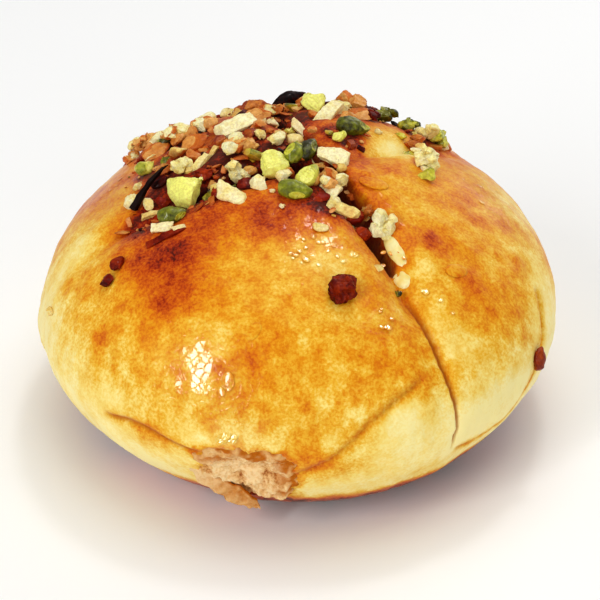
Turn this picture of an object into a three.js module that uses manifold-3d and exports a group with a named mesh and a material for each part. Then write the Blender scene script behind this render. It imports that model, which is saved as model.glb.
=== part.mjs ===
import * as THREE from 'three';
import { mergeVertices } from 'three/addons/utils/BufferGeometryUtils.js';
import Module from 'manifold-3d';

const wasm = await Module();
wasm.setup();

// A round bun with a cross cut in its top, cream cheese in the cuts and chopped nuts over them.
// Millimetres, +Z up, origin in the middle of the flat base.

// Driving sizes of the loaf
const bunRadius = 53.2;
const bunHeight = 55;
const widestHeight = 23;
const baseRadius = 35.5;
const domePower = 1.98;
const underPower = 1.5;
// How finely the skin is divided, and how strongly its meridians gather at the cuts
const meridians = 72;
const meridianGather = 0.72;
const domeRings = 19;
const underRings = 10;
const baseRings = 1;

// The dome stands a little higher behind the cross than in front of it
const crown = { x: 2, y: 20, height: 3, spread: 31, fadeFrom: 0.6 };
// Slow swells that keep the loaf from being a turned shape, and run out towards the base
const swellHeight = 0.35;
const swellLength = 19;
const swellFoot = 8;

// Where the two cuts cross, and the four arms that leave it. The azimuth is that of the rim point that
// the arm heads for. Reach is 0 at the cross, 1 at the widest ring and 2 at the edge of the base.
const crossCentre = new THREE.Vector2(5.5, -3);
const cuts = [
  { azimuth: -58, depth: 4.2, shoulder: 8, fadeFrom: 0.3, fadeTo: 1.35, slitLength: 37, slitHalf: 1.5 },
  { azimuth: 36, depth: 2.6, shoulder: 8, fadeFrom: 0.3, fadeTo: 0.8, slitLength: 27, slitHalf: 0.9 },
  { azimuth: 110, depth: 2.6, shoulder: 8, fadeFrom: 0.35, fadeTo: 0.95, slitLength: 34, slitHalf: 0.9 },
  { azimuth: 196, depth: 2.6, shoulder: 8, fadeFrom: 0.4, fadeTo: 0.85, slitLength: 36, slitHalf: 0.9 },
];
const shoulderPower = 2.2;
// At the cross itself the shoulders sink only this share, and reach their full depth further out
const crossShare = 0.35;
const crossReach = 0.22;
const slitFloor = 26;
// A slit starts a little behind the cross, keeps its width over this share and closes at its tip
const slitBack = 3;
const slitBelly = 0.7;

// The cream stays below the cut's floor, but wells up along one stretch of the front arm
const gap = 0.3;
const creamShort = 3.6;
const creamDrop = 3;
const creamWell = { cut: 0, from: 19, to: 37, rise: 4.6, nearby: [0.2, 0.5] };

// Tucks in the dough low on the sides, as azimuth in degrees and height
const tuckWidth = 2.2;
const tuckDepth = 1.3;
const tuckSteps = 12;
const tucks = [
  [[-134, 21], [-124, 22.5], [-116, 20.5], [-108, 18.5]],
  [[-62, 33], [-72, 30], [-79, 24.5], [-86, 17.5], [-93, 14]],
  [[-46, 18], [-38, 22], [-29, 24], [-18, 25.5]],
  [[18, 17], [30, 20.5], [44, 21.5], [58, 19]],
  [[92, 24], [104, 21], [117, 17.5], [128, 16]],
  [[158, 17], [172, 21], [187, 22], [199, 19.5]],
];

// The torn patch at the foot of the front, and the crust lip under it
const tear = { azimuth: -101, height: 15, across: 8.2, up: 7.2, deep: 2.8, rough: 0.16 };
const lip = {
  root: { azimuth: -112, height: 13, lift: -0.8 },
  tip: { azimuth: -101, height: 6, lift: 3 },
  width: 5.6,
  thickness: 3.4,
  taper: 0.7,
};

// Sizes of a nut piece as shares of its length
const nutShares = {
  slab: [1, 0.52, 0.3],
  chunk: [1, 0.78, 0.66],
  pistachio: [1, 0.66, 0.54],
  sliver: [1, 0.2, 0.16],
  flake: [1, 0.62, 0.24],
};
const nutJitter = 0.13;
// A nut is let down from this height, a step at a time, until this share of it has sunk in
const nutDrop = { from: 5, step: 0.25, sunkShare: 0.1 };

// Nut pieces that are seen one by one: kind, x, y, length and turn in degrees
const nutPieces = [
  ['chunk', -8.6, 36.5, 5, 0],
  ['chunk', -10.2, 36, 6, 10],
  ['chunk', -14.8, 35.5, 3, 0],
  ['slab', -12.8, 23.5, 7.8, 32],
  ['chunk', -3, 37, 5, 20],
  ['chunk', -1.5, 36.5, 6.8, 30],
  ['chunk', 3, 35, 5.2, 70],
  ['slab', 7, 29.5, 7.4, 62],
  ['chunk', 12.4, 37, 5, 0],
  ['chunk', 10.8, 36.5, 5.6, -20],
  ['flake', 14.4, 36, 5, -24],
  ['pistachio', 17.4, 35, 5, 20],
  ['pistachio', 18.6, 34, 5.4, -60],
  ['pistachio', 13.6, 22, 5.4, 4],
  ['chunk', 26, 32.5, 5, 0],
  ['pistachio', 24, 31.5, 5, 70],
  ['chunk', 26.6, 31.5, 3.8, 0],
  ['pistachio', 29.5, 30, 5, -70],
  ['chunk', 27.6, 24, 4.8, 10],
  ['chunk', 26, 13, 5.6, 84],
  ['chunk', -35, 23, 5.4, 40],
  ['chunk', -27.4, 27.5, 5, 20],
  ['sliver', -30, 19, 4.2, 24],
  ['pistachio', -31, 11.5, 4.2, 20],
  ['sliver', -29.5, 3, 11, 66],
  ['chunk', -27, 2, 3.6, 30],
  ['chunk', -18, -1, 4, 0],
  ['pistachio', -23, -5, 9, -62],
  ['chunk', -12.5, -1, 5.4, 60],
  ['slab', -13, -9, 6.8, -24],
  ['chunk', -7.5, -7, 3.8, -20],
  ['chunk', -32.5, -2.5, 3.4, 20],
  ['chunk', -29, -5.5, 3, 70],
  ['sliver', -29.5, -8.5, 4, 6],
  ['pistachio', -24, -12, 5.4, 0],
  ['slab', -26.5, -15, 4.4, -6],
  ['chunk', -22.8, -16.2, 2.8, 20],
  ['chunk', -4.5, 12, 4.2, 0],
  ['pistachio', -4.5, 1, 6, 80],
  ['pistachio', -1, 6.5, 5, 84],
  ['pistachio', 2.3, 7.5, 5, -80],
  ['pistachio', 2, -4, 5.6, 52],
  ['pistachio', -0.5, -10, 6.6, -8],
  ['slab', 6.5, 5.5, 8, -18],
  ['chunk', -2, -5.5, 2.6, 0],
  ['chunk', 5.5, -6.5, 5.6, 40],
  ['sliver', 7, -8.5, 4.6, -36],
  ['chunk', 6.6, -12.5, 3.4, 60],
  ['chunk', 7.8, -15.4, 4.4, -20],
  ['chunk', 4, -19, 3, 10],
  ['chunk', 13.8, -12.8, 4.2, 50],
  ['chunk', 16.5, -16, 6.4, 70],
  ['flake', 17, -11, 5, -40],
  ['flake', 14.8, -4, 5, -12],
  ['chunk', 15.4, -28.6, 2.2, 0],
  ['chunk', 8.5, -33.5, 6.2, 60],
  ['chunk', -34.5, -20, 2.8, 60],
  ['chunk', -37, -23, 2.6, 10],
];
// Single bits on the steep sides, as azimuth in degrees and height
const sidePieces = [
  ['chunk', -161, 31, 2.2, 0],
  ['chunk', -28, 26.5, 5, 84],
  ['chunk', 63, 33, 3, 30],
  ['chunk', 141, 38, 2.8, 70],
];
// Smaller bits between them, drawn along the arms by rule
const strewnCount = 32;
const strewnSpread = 6.5;
const strewnLengths = [2, 3.6];
const strewnReaches = [[4, 22], [8, 30], [6, 34], [5, 34]];
const strewnFlakes = 0.3;
const strewnSeed = 20;
const nutSeed = 31;
const tearSeed = 7;

const { clamp, degToRad, lerp, smoothstep } = THREE.MathUtils;

// Seeded draws between 0 and 1
function drawsFrom(seed) {
  let state = seed;
  return () => {
    state = (state * 16807) % 2147483647;
    return state / 2147483647;
  };
}

// The bun before it was cut: the point and outward normal at a reach along a spoke
function plainSkin(reach, azimuth) {
  const spoke = new THREE.Vector2(Math.cos(azimuth), Math.sin(azimuth));
  if (reach <= 1) {
    const ring = Math.sin(reach * Math.PI / 2);
    const plan = crossCentre.clone().multiplyScalar(1 - ring).addScaledVector(spoke, ring * bunRadius);
    return domeSkin(plan, ring * bunRadius);
  }
  const turn = Math.min(reach - 1, 1) * Math.PI / 2;
  const flare = Math.cos(turn) ** (2 / underPower);
  const sink = Math.sin(turn) ** (2 / underPower);
  const edge = lerp(baseRadius, bunRadius, flare);
  const radius = reach > 2 ? edge * (3 - reach) : edge;
  const point = new THREE.Vector3(spoke.x * radius, spoke.y * radius, widestHeight * (1 - sink));
  const outward = flare ** (underPower - 1) / (bunRadius - baseRadius);
  const downward = sink ** (underPower - 1) / widestHeight;
  const normal = new THREE.Vector3(spoke.x * outward, spoke.y * outward, -downward).normalize();
  return { point, normal, spokeRadius: radius };
}

function domeSkin(plan, spokeRadius) {
  const domeHeight = bunHeight - widestHeight;
  const share = clamp(plan.length() / bunRadius, 0, 1);
  const rise = (1 - share ** domePower) ** (1 / domePower);
  const point = new THREE.Vector3(plan.x, plan.y, widestHeight + domeHeight * rise);
  const outward = plan.clone().normalize().multiplyScalar(share ** (domePower - 1) / bunRadius);
  const normal = new THREE.Vector3(outward.x, outward.y, rise ** (domePower - 1) / domeHeight).normalize();
  return { point, normal, spokeRadius };
}

// How deep the shoulders of the cuts have sunk at a place on the skin
function valley(reach, azimuth, spokeRadius) {
  let deepest = 0;
  for (const cut of cuts) {
    const across = Math.abs(2 * Math.sin((azimuth - degToRad(cut.azimuth)) / 2)) * spokeRadius;
    const shoulder = Math.max(0, 1 - across / cut.shoulder) ** shoulderPower;
    const leaving = lerp(crossShare, 1, smoothstep(reach, 0, crossReach));
    const ending = 1 - smoothstep(reach, cut.fadeFrom, cut.fadeTo);
    deepest = Math.max(deepest, cut.depth * shoulder * leaving * ending);
  }
  return deepest;
}

function swell(point) {
  const waves = Math.sin(point.x / swellLength + 1.1) * Math.cos(point.y / swellLength - 0.4);
  return swellHeight * (waves + Math.sin((point.z - point.x) / swellLength * 1.7 + 2.3));
}

// A point on the baked skin, lifted along the outward normal
function skinPoint(reach, azimuth, lift) {
  const { point, normal, spokeRadius } = plainSkin(reach, azimuth);
  const fromCrown = Math.hypot(point.x - crown.x, point.y - crown.y) / crown.spread;
  const domed = crown.height * Math.exp(-fromCrown * fromCrown) * (1 - smoothstep(reach, crown.fadeFrom, 1));
  const aboveFoot = smoothstep(point.z, 0, swellFoot);
  const raised = domed + (swell(point) - valley(reach, azimuth, spokeRadius)) * aboveFoot + lift;
  return { point: point.addScaledVector(normal, raised), normal };
}

// The reach and azimuth of the spoke that passes over a plan point of the dome
function spokeOver(plan) {
  const fromCross = plan.clone().sub(crossCentre);
  const a = crossCentre.lengthSq() - bunRadius * bunRadius;
  const b = fromCross.dot(crossCentre);
  const ring = (-b - Math.sqrt(b * b - a * fromCross.lengthSq())) / a;
  const rim = fromCross.addScaledVector(crossCentre, ring);
  return { reach: Math.asin(clamp(ring, 0, 1)) / (Math.PI / 2), azimuth: Math.atan2(rim.y, rim.x) };
}

// The reach of a height on the side, below or above the widest ring, by halving
function reachAtHeight(height, azimuth) {
  let low = 0.05;
  let high = 1.95;
  for (let step = 0; step < 30; step += 1) {
    const middle = (low + high) / 2;
    if (plainSkin(middle, azimuth).point.z > height) low = middle;
    else high = middle;
  }
  return low;
}

function sidePoint(degrees, height, lift) {
  const azimuth = degToRad(degrees);
  return skinPoint(reachAtHeight(height, azimuth), azimuth, lift);
}

// A geometry whose faces share their vertices
function welded(geometry) {
  const bare = geometry.clone();
  bare.deleteAttribute('normal');
  bare.deleteAttribute('uv');
  return mergeVertices(bare, 1e-4);
}

function toSolid(geometry) {
  const shared = welded(geometry);
  const vertProperties = new Float32Array(shared.attributes.position.array);
  const triVerts = new Uint32Array(shared.index.array);
  return new wasm.Manifold(new wasm.Mesh({ numProp: 3, vertProperties, triVerts }));
}

// The largest body of a solid, without scraps or sealed hollows
function mainBody(solid) {
  return solid.decompose().reduce((best, body) => (body.volume() > best.volume() ? body : best));
}

function toMesh(name, solid, material) {
  const { vertProperties, triVerts } = solid.getMesh();
  const geometry = new THREE.BufferGeometry();
  geometry.setAttribute('position', new THREE.BufferAttribute(vertProperties, 3));
  geometry.setIndex(new THREE.BufferAttribute(triVerts, 1));
  geometry.computeVertexNormals();
  const mesh = new THREE.Mesh(geometry, material);
  mesh.name = name;
  return mesh;
}

function moveVertices(geometry, move) {
  const position = geometry.attributes.position;
  for (let i = 0; i < position.count; i += 1) {
    const moved = move(new THREE.Vector3().fromBufferAttribute(position, i));
    position.setXYZ(i, moved.x, moved.y, moved.z);
  }
  return geometry;
}

// Meridians gather at the arms, so that the valleys keep their shape
function meridianAzimuth(index) {
  const perArm = meridians / cuts.length;
  const arm = Math.floor(index / perArm) % cuts.length;
  const share = (index % perArm) / perArm;
  const from = cuts[arm].azimuth;
  const to = arm + 1 < cuts.length ? cuts[arm + 1].azimuth : cuts[0].azimuth + 360;
  const gathered = share - meridianGather * Math.sin(2 * Math.PI * share) / (2 * Math.PI);
  return degToRad(lerp(from, to, gathered));
}

function ringReach(index) {
  if (index <= domeRings) return index / domeRings;
  if (index <= domeRings + underRings) return 1 + (index - domeRings) / underRings;
  return 2 + (index - domeRings - underRings) / baseRings;
}

// A closed skin at a lift that may change along the reach and azimuth
function skinSolid(liftAt) {
  const rings = domeRings + underRings + baseRings;
  const sphere = new THREE.SphereGeometry(1, meridians, rings).rotateX(Math.PI / 2);
  moveVertices(sphere, (unit) => {
    const reach = ringReach(Math.round(Math.acos(clamp(unit.z, -1, 1)) / Math.PI * rings));
    const turn = (Math.atan2(unit.y, unit.x) + 2 * Math.PI) % (2 * Math.PI);
    const azimuth = meridianAzimuth(Math.round(turn / (2 * Math.PI) * meridians) % meridians);
    return skinPoint(reach, azimuth, liftAt(reach, azimuth)).point;
  });
  return toSolid(sphere);
}

function armDirection(cut) {
  const azimuth = degToRad(cut.azimuth);
  const rim = new THREE.Vector2(Math.cos(azimuth), Math.sin(azimuth)).multiplyScalar(bunRadius);
  return rim.sub(crossCentre).normalize();
}

// An upright blade along each arm, thinned by the inset and shortened at its tip
function crossBlades(inset, shortened, floor) {
  const blades = cuts.map((cut) => {
    const half = cut.slitHalf - inset;
    const tip = cut.slitLength - shortened;
    const outline = new THREE.Shape();
    outline.moveTo(-slitBack, -half);
    outline.quadraticCurveTo(tip * slitBelly, -half, tip, 0);
    outline.quadraticCurveTo(tip * slitBelly, half, -slitBack, half);
    outline.closePath();
    const depth = bunHeight + crown.height * 3 - floor;
    const blade = new THREE.ExtrudeGeometry(outline, { depth, bevelEnabled: false, curveSegments: 8 });
    const direction = armDirection(cut);
    blade.rotateZ(Math.atan2(direction.y, direction.x));
    blade.translate(crossCentre.x, crossCentre.y, floor);
    return toSolid(blade);
  });
  return blades.reduce((joined, blade) => joined.add(blade));
}

// The cream's top follows the floor of the cuts, and wells up along the front arm
function creamLift(reach, azimuth) {
  const plan = plainSkin(reach, azimuth).point;
  const along = Math.hypot(plan.x - crossCentre.x, plan.y - crossCentre.y);
  const apart = Math.abs(2 * Math.sin((azimuth - degToRad(cuts[creamWell.cut].azimuth)) / 2));
  const middle = (creamWell.from + creamWell.to) / 2;
  const half = (creamWell.to - creamWell.from) / 2;
  const onArm = 1 - smoothstep(apart, ...creamWell.nearby);
  const inWell = Math.max(0, 1 - ((along - middle) / half) ** 2) * onArm;
  return creamWell.rise * inWell - creamDrop;
}

// A groove along a line on the skin, with a diamond for its section, running out at both ends
function tuckGroove(stations) {
  const last = stations.length - 1;
  const path = new THREE.CatmullRomCurve3(stations.map(([degrees, height], index) => {
    const lift = index === 0 || index === last ? tuckDepth : 0;
    return sidePoint(degrees, height, lift).point;
  }));
  const section = new THREE.Shape();
  section.moveTo(-tuckDepth, 0);
  section.lineTo(0, -tuckWidth / 2);
  section.lineTo(tuckDepth, 0);
  section.lineTo(0, tuckWidth / 2);
  section.closePath();
  return toSolid(new THREE.ExtrudeGeometry(section, { steps: tuckSteps, extrudePath: path }));
}

// A rough hollow where the dough tore
function tearHollow() {
  const draw = drawsFrom(tearSeed);
  const { point, normal } = sidePoint(tear.azimuth, tear.height, 0);
  const upward = new THREE.Vector3(0, 0, 1);
  const sideways = new THREE.Vector3().crossVectors(upward, normal).normalize();
  const along = new THREE.Vector3().crossVectors(normal, sideways);
  const frame = new THREE.Matrix4().makeBasis(sideways, along, normal).setPosition(point);
  const lump = welded(new THREE.IcosahedronGeometry(1, 3));
  moveVertices(lump, (unit) => {
    const rough = 1 + tear.rough * (2 * draw() - 1);
    return unit.multiply(new THREE.Vector3(tear.across, tear.up, tear.deep)).multiplyScalar(rough);
  });
  return toSolid(lump.applyMatrix4(frame));
}

// The pointed lip of crust that hangs out under the tear
function tearLip() {
  const root = sidePoint(lip.root.azimuth, lip.root.height, lip.root.lift);
  const tip = sidePoint(lip.tip.azimuth, lip.tip.height, lip.tip.lift);
  const along = tip.point.clone().sub(root.point);
  const length = along.length();
  along.normalize();
  const across = new THREE.Vector3().crossVectors(root.normal, along).normalize();
  const outward = new THREE.Vector3().crossVectors(along, across);
  const middle = root.point.clone().lerp(tip.point, 0.5);
  const frame = new THREE.Matrix4().makeBasis(along, across, outward).setPosition(middle);
  const drop = welded(new THREE.SphereGeometry(0.5, 10, 8).rotateZ(Math.PI / 2));
  moveVertices(drop, (unit) => {
    const narrowing = 1 - lip.taper * smoothstep(unit.x, -0.4, 0.5);
    const width = lip.width * narrowing;
    const thickness = lip.thickness * narrowing;
    return unit.multiply(new THREE.Vector3(length, width, thickness));
  });
  return toSolid(drop.applyMatrix4(frame));
}

function nutGeometry(kind) {
  if (kind === 'slab' || kind === 'sliver') return new THREE.BoxGeometry(1, 1, 1);
  if (kind === 'pistachio') return new THREE.SphereGeometry(0.5, 6, 4);
  return new THREE.IcosahedronGeometry(0.5, 0);
}

// One nut piece, let down along the normal until it bites into what lies under it
function nutPiece([kind, , , length, turn], seat, draw, bread) {
  const [long, wide, thick] = nutShares[kind].map((share) => share * length);
  const nut = welded(nutGeometry(kind));
  const jitter = () => 1 + nutJitter * (2 * draw() - 1);
  moveVertices(nut, (unit) => {
    const size = new THREE.Vector3(long * jitter(), wide * jitter(), thick * jitter());
    return unit.multiply(size);
  });
  const toNormal = new THREE.Quaternion().setFromUnitVectors(new THREE.Vector3(0, 0, 1), seat.normal);
  nut.rotateZ(degToRad(turn)).applyQuaternion(toNormal);
  const start = seat.point.clone().addScaledVector(seat.normal, nutDrop.from);
  nut.translate(start.x, start.y, start.z);
  const stepDown = seat.normal.clone().multiplyScalar(-nutDrop.step);
  let solid = toSolid(nut);
  const sunk = solid.volume() * nutDrop.sunkShare;
  while (bread.intersect(solid).volume() < sunk) {
    nut.translate(stepDown.x, stepDown.y, stepDown.z);
    solid = toSolid(nut);
  }
  return solid;
}

function seatOver(x, y) {
  const { reach, azimuth } = spokeOver(new THREE.Vector2(x, y));
  return skinPoint(reach, azimuth, 0);
}

// Small bits strewn along the arms, each drawn on its own arm in turn
function strewnPieces() {
  const draw = drawsFrom(strewnSeed);
  const pieces = [];
  for (let i = 0; i < strewnCount; i += 1) {
    const arm = i % cuts.length;
    const direction = armDirection(cuts[arm]);
    const along = lerp(...strewnReaches[arm], draw());
    const across = strewnSpread * (draw() + draw() - 1);
    const x = crossCentre.x + direction.x * along - direction.y * across;
    const y = crossCentre.y + direction.y * along + direction.x * across;
    const length = lerp(...strewnLengths, draw());
    pieces.push([draw() < strewnFlakes ? 'flake' : 'chunk', x, y, length, 360 * draw()]);
  }
  return pieces;
}

function bunSolid() {
  const draw = drawsFrom(nutSeed);
  let bread = skinSolid(() => 0).subtract(crossBlades(0, 0, slitFloor));
  for (const stations of tucks) {
    bread = bread.subtract(tuckGroove(stations));
  }
  bread = bread.subtract(tearHollow()).add(tearLip());
  for (const piece of [...strewnPieces(), ...nutPieces]) {
    bread = bread.add(nutPiece(piece, seatOver(piece[1], piece[2]), draw, bread));
  }
  for (const piece of sidePieces) {
    bread = bread.add(nutPiece(piece, sidePoint(piece[1], piece[2], 0), draw, bread));
  }
  const creamRoom = crossBlades(0, 0, slitFloor).intersect(skinSolid((...at) => creamLift(...at) + gap));
  return mainBody(bread.subtract(creamRoom));
}

function creamSolid() {
  return mainBody(crossBlades(gap, creamShort, slitFloor + gap).intersect(skinSolid(creamLift)));
}

const crust = new THREE.MeshStandardMaterial({ color: 0xd8952f, roughness: 0.35, metalness: 0 });
const creamCheese = new THREE.MeshStandardMaterial({ color: 0xf2e8cf, roughness: 0.5, metalness: 0 });

const part = new THREE.Group();
part.add(toMesh('bun', bunSolid(), crust));
part.add(toMesh('cream_cheese_filling', creamSolid(), creamCheese));

export default part;
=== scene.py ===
import math
import bmesh
import bpy
import numpy as np
from mathutils import Matrix, Vector, noise
from mathutils.bvhtree import BVHTree


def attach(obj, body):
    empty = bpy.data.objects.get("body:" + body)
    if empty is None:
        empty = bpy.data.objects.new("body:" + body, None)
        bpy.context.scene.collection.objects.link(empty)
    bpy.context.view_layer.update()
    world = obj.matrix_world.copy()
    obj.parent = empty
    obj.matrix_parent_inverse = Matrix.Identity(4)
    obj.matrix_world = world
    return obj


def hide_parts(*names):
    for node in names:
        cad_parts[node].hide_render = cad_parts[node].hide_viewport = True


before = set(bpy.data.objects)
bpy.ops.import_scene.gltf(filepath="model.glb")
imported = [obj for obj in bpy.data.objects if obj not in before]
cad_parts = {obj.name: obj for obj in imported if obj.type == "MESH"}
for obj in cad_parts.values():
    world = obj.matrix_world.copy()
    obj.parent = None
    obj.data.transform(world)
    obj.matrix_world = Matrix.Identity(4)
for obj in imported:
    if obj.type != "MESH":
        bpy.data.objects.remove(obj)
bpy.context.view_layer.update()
print("frame loaded:", sorted(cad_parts))

# A round bun with a cross cut in its top, cream cheese in the cuts and chopped nuts over them.
# Sizes are in millimetres and turned into metres where a mesh is written.
mm = 0.001


# small helpers

def treeOf(*meshes):
    bm = bmesh.new()
    for mesh in meshes:
        bm.from_mesh(mesh)
    tree = BVHTree.FromBMesh(bm)
    bm.free()
    return tree


def heightOver(tree, point, normal, above=12):
    # how high a mesh stands over a point of the loaf's skin, in millimetres
    hit, _, _, distance = tree.ray_cast((point + normal * above) * mm, -normal)
    return above - distance / mm if hit else 0.0


def smoothStep(value, low, high):
    share = np.clip((value - low) / (high - low), 0, 1)
    return share * share * (3 - 2 * share)


def comeAndGo(value, start, full, fading, end):
    # rises from 0 to 1 and falls to 0 again
    return smoothStep(value, start, full) * (1 - smoothStep(value, fading, end))


def lerp(first, last, share):
    return first + (last - first) * share


def seededDraws(seed):
    multiplier, modulus = 16807, 2147483647
    state = seed
    while True:
        state = state * multiplier % modulus
        yield state / modulus


def noiseAt(points, size, octaves, shift=0.0):
    # noise of points in millimetres, about -1 to 1, with features of the given size
    fading, finer = 0.9, 2.0
    spots = (np.asarray(points, float) / size + shift).tolist()
    return np.array([noise.fractal(spot, fading, finer, octaves) for spot in spots])


def layeredNoise(points, layers, octaves, shift=0.0):
    # the sum of noises given by the size of their features and their height
    return sum(height * noiseAt(points, size, octaves, shift) for size, height in layers)


def drawnInDisc(draw, x, y, radius):
    # a place drawn evenly over a disc
    turn = 2 * math.pi * next(draw)
    away = radius * math.sqrt(next(draw))
    return x + away * math.cos(turn), y + away * math.sin(turn)


def drawnTilts(draw, most):
    # two angles of up to most degrees to either side
    return most * (2 * next(draw) - 1), most * (2 * next(draw) - 1)


def linear(red, green, blue):
    # a colour of 0 to 255 as it is seen, for a colour socket
    def channel(value):
        value /= 255
        return value / 12.92 if value <= 0.04045 else ((value + 0.055) / 1.055) ** 2.4
    return (channel(red), channel(green), channel(blue), 1.0)


def placeOf(bm):
    return np.array([vert.co for vert in bm.verts])


def paint(bm, points, **painted):
    # moves the vertices to points in millimetres and paints values on them
    layers = [bm.verts.layers.float.new(label) for label in painted]
    columns = [np.asarray(values, float).tolist() for values in painted.values()]
    for vert, place, *values in zip(bm.verts, (points * mm).tolist(), *columns):
        vert.co = place
        for layer, value in zip(layers, values):
            vert[layer] = value


def meshOf(name, bm):
    mesh = bpy.data.meshes.new(name)
    bm.to_mesh(mesh)
    bm.free()
    return mesh


def addObject(name, data):
    holder = bpy.data.objects.new(name, data)
    bpy.context.scene.collection.objects.link(holder)
    return holder


# camera, lights and floor

view = {"elevation": 33, "distance": 360, "aim": (0.4, 0, 22.8), "lens": 104, "sensor": 36, "nearest": 10}
lights = {  # direction it stands in, distance, width and height in metres, roll, watts
    "window": ((-0.57, -0.65, 0.55), 0.70, 0.08, 0.38, 18, 1.4),
    "skylight": ((0.15, 0.31, 0.94), 0.80, 0.10, 0.10, 0, 0.6),
    "ceiling": ((0.10, 0.10, 0.99), 0.90, 0.80, 0.60, 0, 2.3),
    "backFill": ((0.50, 0.76, 0.42), 0.90, 0.70, 0.50, 0, 1.5),
    "leftFill": ((-0.85, -0.25, 0.35), 1.10, 0.80, 0.60, 0, 0.4),
    "frontFill": ((0.42, -0.86, 0.30), 1.20, 1.30, 0.80, 0, 2.8),
}
worldLight = {"colour": (1.0, 1.0, 1.0, 1.0), "strength": 0.29}
floorLook = {"size": 3.0, "drop": 0.0002, "colour": linear(250, 250, 249), "roughness": 0.9}

slope = math.radians(view["elevation"])
frontward = Vector((0, -math.cos(slope), math.sin(slope)))  # from the bun to the camera
upward = Vector((0, math.sin(slope), math.cos(slope)))  # up in the picture
cameraPlace = Vector(view["aim"]) + frontward * view["distance"]
lampCentre = Vector((0, 0, 25))


def lampPlace(name):
    direction, distance = lights[name][:2]
    return lampCentre + Vector(direction).normalized() * distance / mm


def lookAlong(direction):
    return Vector(direction).to_track_quat("-Z", "Y").to_euler()


def makeCamera():
    camera = bpy.data.cameras.new("camera")
    camera.lens = view["lens"]
    camera.sensor_width = view["sensor"]
    camera.clip_start = view["nearest"] * mm
    holder = addObject("camera", camera)
    holder.location = cameraPlace * mm
    holder.rotation_euler = lookAlong(-frontward)
    bpy.context.scene.camera = holder


def makeLights():
    for name, (direction, _, width, height, roll, watts) in lights.items():
        lamp = bpy.data.lights.new(name, "AREA")
        lamp.shape = "RECTANGLE"
        lamp.size = width
        lamp.size_y = height
        lamp.energy = watts
        holder = addObject(name, lamp)
        holder.location = lampPlace(name) * mm
        holder.rotation_euler = lookAlong(-Vector(direction))
        holder.rotation_euler.rotate_axis("Z", math.radians(roll))
    world = bpy.data.worlds.new("studio")
    world.use_nodes = True
    sky = world.node_tree.nodes["Background"]
    sky.inputs["Color"].default_value = worldLight["colour"]
    sky.inputs["Strength"].default_value = worldLight["strength"]
    bpy.context.scene.world = world
    bpy.context.scene.view_settings.view_transform = "Standard"
    bpy.context.scene.view_settings.look = "Medium High Contrast"


def makeFloor():
    bm = bmesh.new()
    bmesh.ops.create_grid(bm, x_segments=1, y_segments=1, size=floorLook["size"] / 2)
    bmesh.ops.translate(bm, verts=bm.verts, vec=(0, 0, -floorLook["drop"]))
    mesh = meshOf("floor", bm)
    material = bpy.data.materials.new("paleFloor")
    material.use_nodes = True
    shader = material.node_tree.nodes["Principled BSDF"]
    shader.inputs["Base Color"].default_value = floorLook["colour"]
    shader.inputs["Roughness"].default_value = floorLook["roughness"]
    mesh.materials.append(material)
    floor = addObject("floor", mesh)


makeCamera()
makeLights()
makeFloor()
print("camera, lights and floor in place")


# node helpers and the effects that several finishes share

def newFinish(name):
    # a material with its Principled shader and object coordinates in millimetres
    material = bpy.data.materials.new(name)
    material.use_nodes = True
    tree = material.node_tree
    coords = tree.nodes.new("ShaderNodeTexCoord")
    mapping = tree.nodes.new("ShaderNodeMapping")
    mapping.inputs["Scale"].default_value = (1 / mm, 1 / mm, 1 / mm)
    tree.links.new(coords.outputs["Object"], mapping.inputs["Vector"])
    return material, tree, mapping.outputs["Vector"]


def attribute(tree, name):
    node = tree.nodes.new("ShaderNodeAttribute")
    node.attribute_name = name
    return node.outputs["Fac"]


def joinUp(tree, value, socket):
    # a link where value is another node's output, and a plain setting otherwise
    if isinstance(value, bpy.types.NodeSocket):
        tree.links.new(value, socket)
    else:
        socket.default_value = value


def dress(tree, **settings):
    # links or sets the Principled shader's sockets
    shader = tree.nodes["Principled BSDF"]
    for label, value in settings.items():
        joinUp(tree, value, shader.inputs[label.replace("_", " ")])


def reckon(tree, operation, first, second):
    node = tree.nodes.new("ShaderNodeMath")
    node.operation = operation
    joinUp(tree, first, node.inputs[0])
    joinUp(tree, second, node.inputs[1])
    return node.outputs[0]


def weighted(tree, first, second, share, otherShare):
    # the sum of two values, each taken by its share
    first = reckon(tree, "MULTIPLY", first, share)
    return reckon(tree, "ADD", first, reckon(tree, "MULTIPLY", second, otherShare))


def rescale(tree, value, fromLow, fromHigh, toLow=0.0, toHigh=1.0):
    node = tree.nodes.new("ShaderNodeMapRange")
    node.interpolation_type = "SMOOTHSTEP"
    for socket, setting in zip(node.inputs[:5], (value, fromLow, fromHigh, toLow, toHigh)):
        joinUp(tree, setting, socket)
    return node.outputs[0]


def blendColours(tree, share, first, second, mode="MIX"):
    node = tree.nodes.new("ShaderNodeMix")
    node.data_type = "RGBA"
    node.blend_type = mode
    joinUp(tree, share, node.inputs[0])
    joinUp(tree, first, node.inputs[6])
    joinUp(tree, second, node.inputs[7])
    return node.outputs[2]


def colourRamp(tree, value, stops):
    node = tree.nodes.new("ShaderNodeValToRGB")
    elements = node.color_ramp.elements
    while len(elements) < len(stops):
        elements.new(0.5)
    for element, (position, colour) in zip(elements, stops):
        element.position = position
        element.color = colour
    tree.links.new(value, node.inputs[0])
    return node.outputs[0]


def cloud(tree, place, size, detail=2.0, roughness=0.55, distortion=0.0):
    # noise with features of about the given size in millimetres
    node = tree.nodes.new("ShaderNodeTexNoise")
    joinUp(tree, place, node.inputs["Vector"])
    node.inputs["Scale"].default_value = 1 / size
    node.inputs["Detail"].default_value = detail
    node.inputs["Roughness"].default_value = roughness
    node.inputs["Distortion"].default_value = distortion
    return node.outputs[0]


def stretched(tree, place, scale):
    node = tree.nodes.new("ShaderNodeMapping")
    joinUp(tree, place, node.inputs["Vector"])
    node.inputs["Scale"].default_value = scale
    return node.outputs["Vector"]


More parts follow.
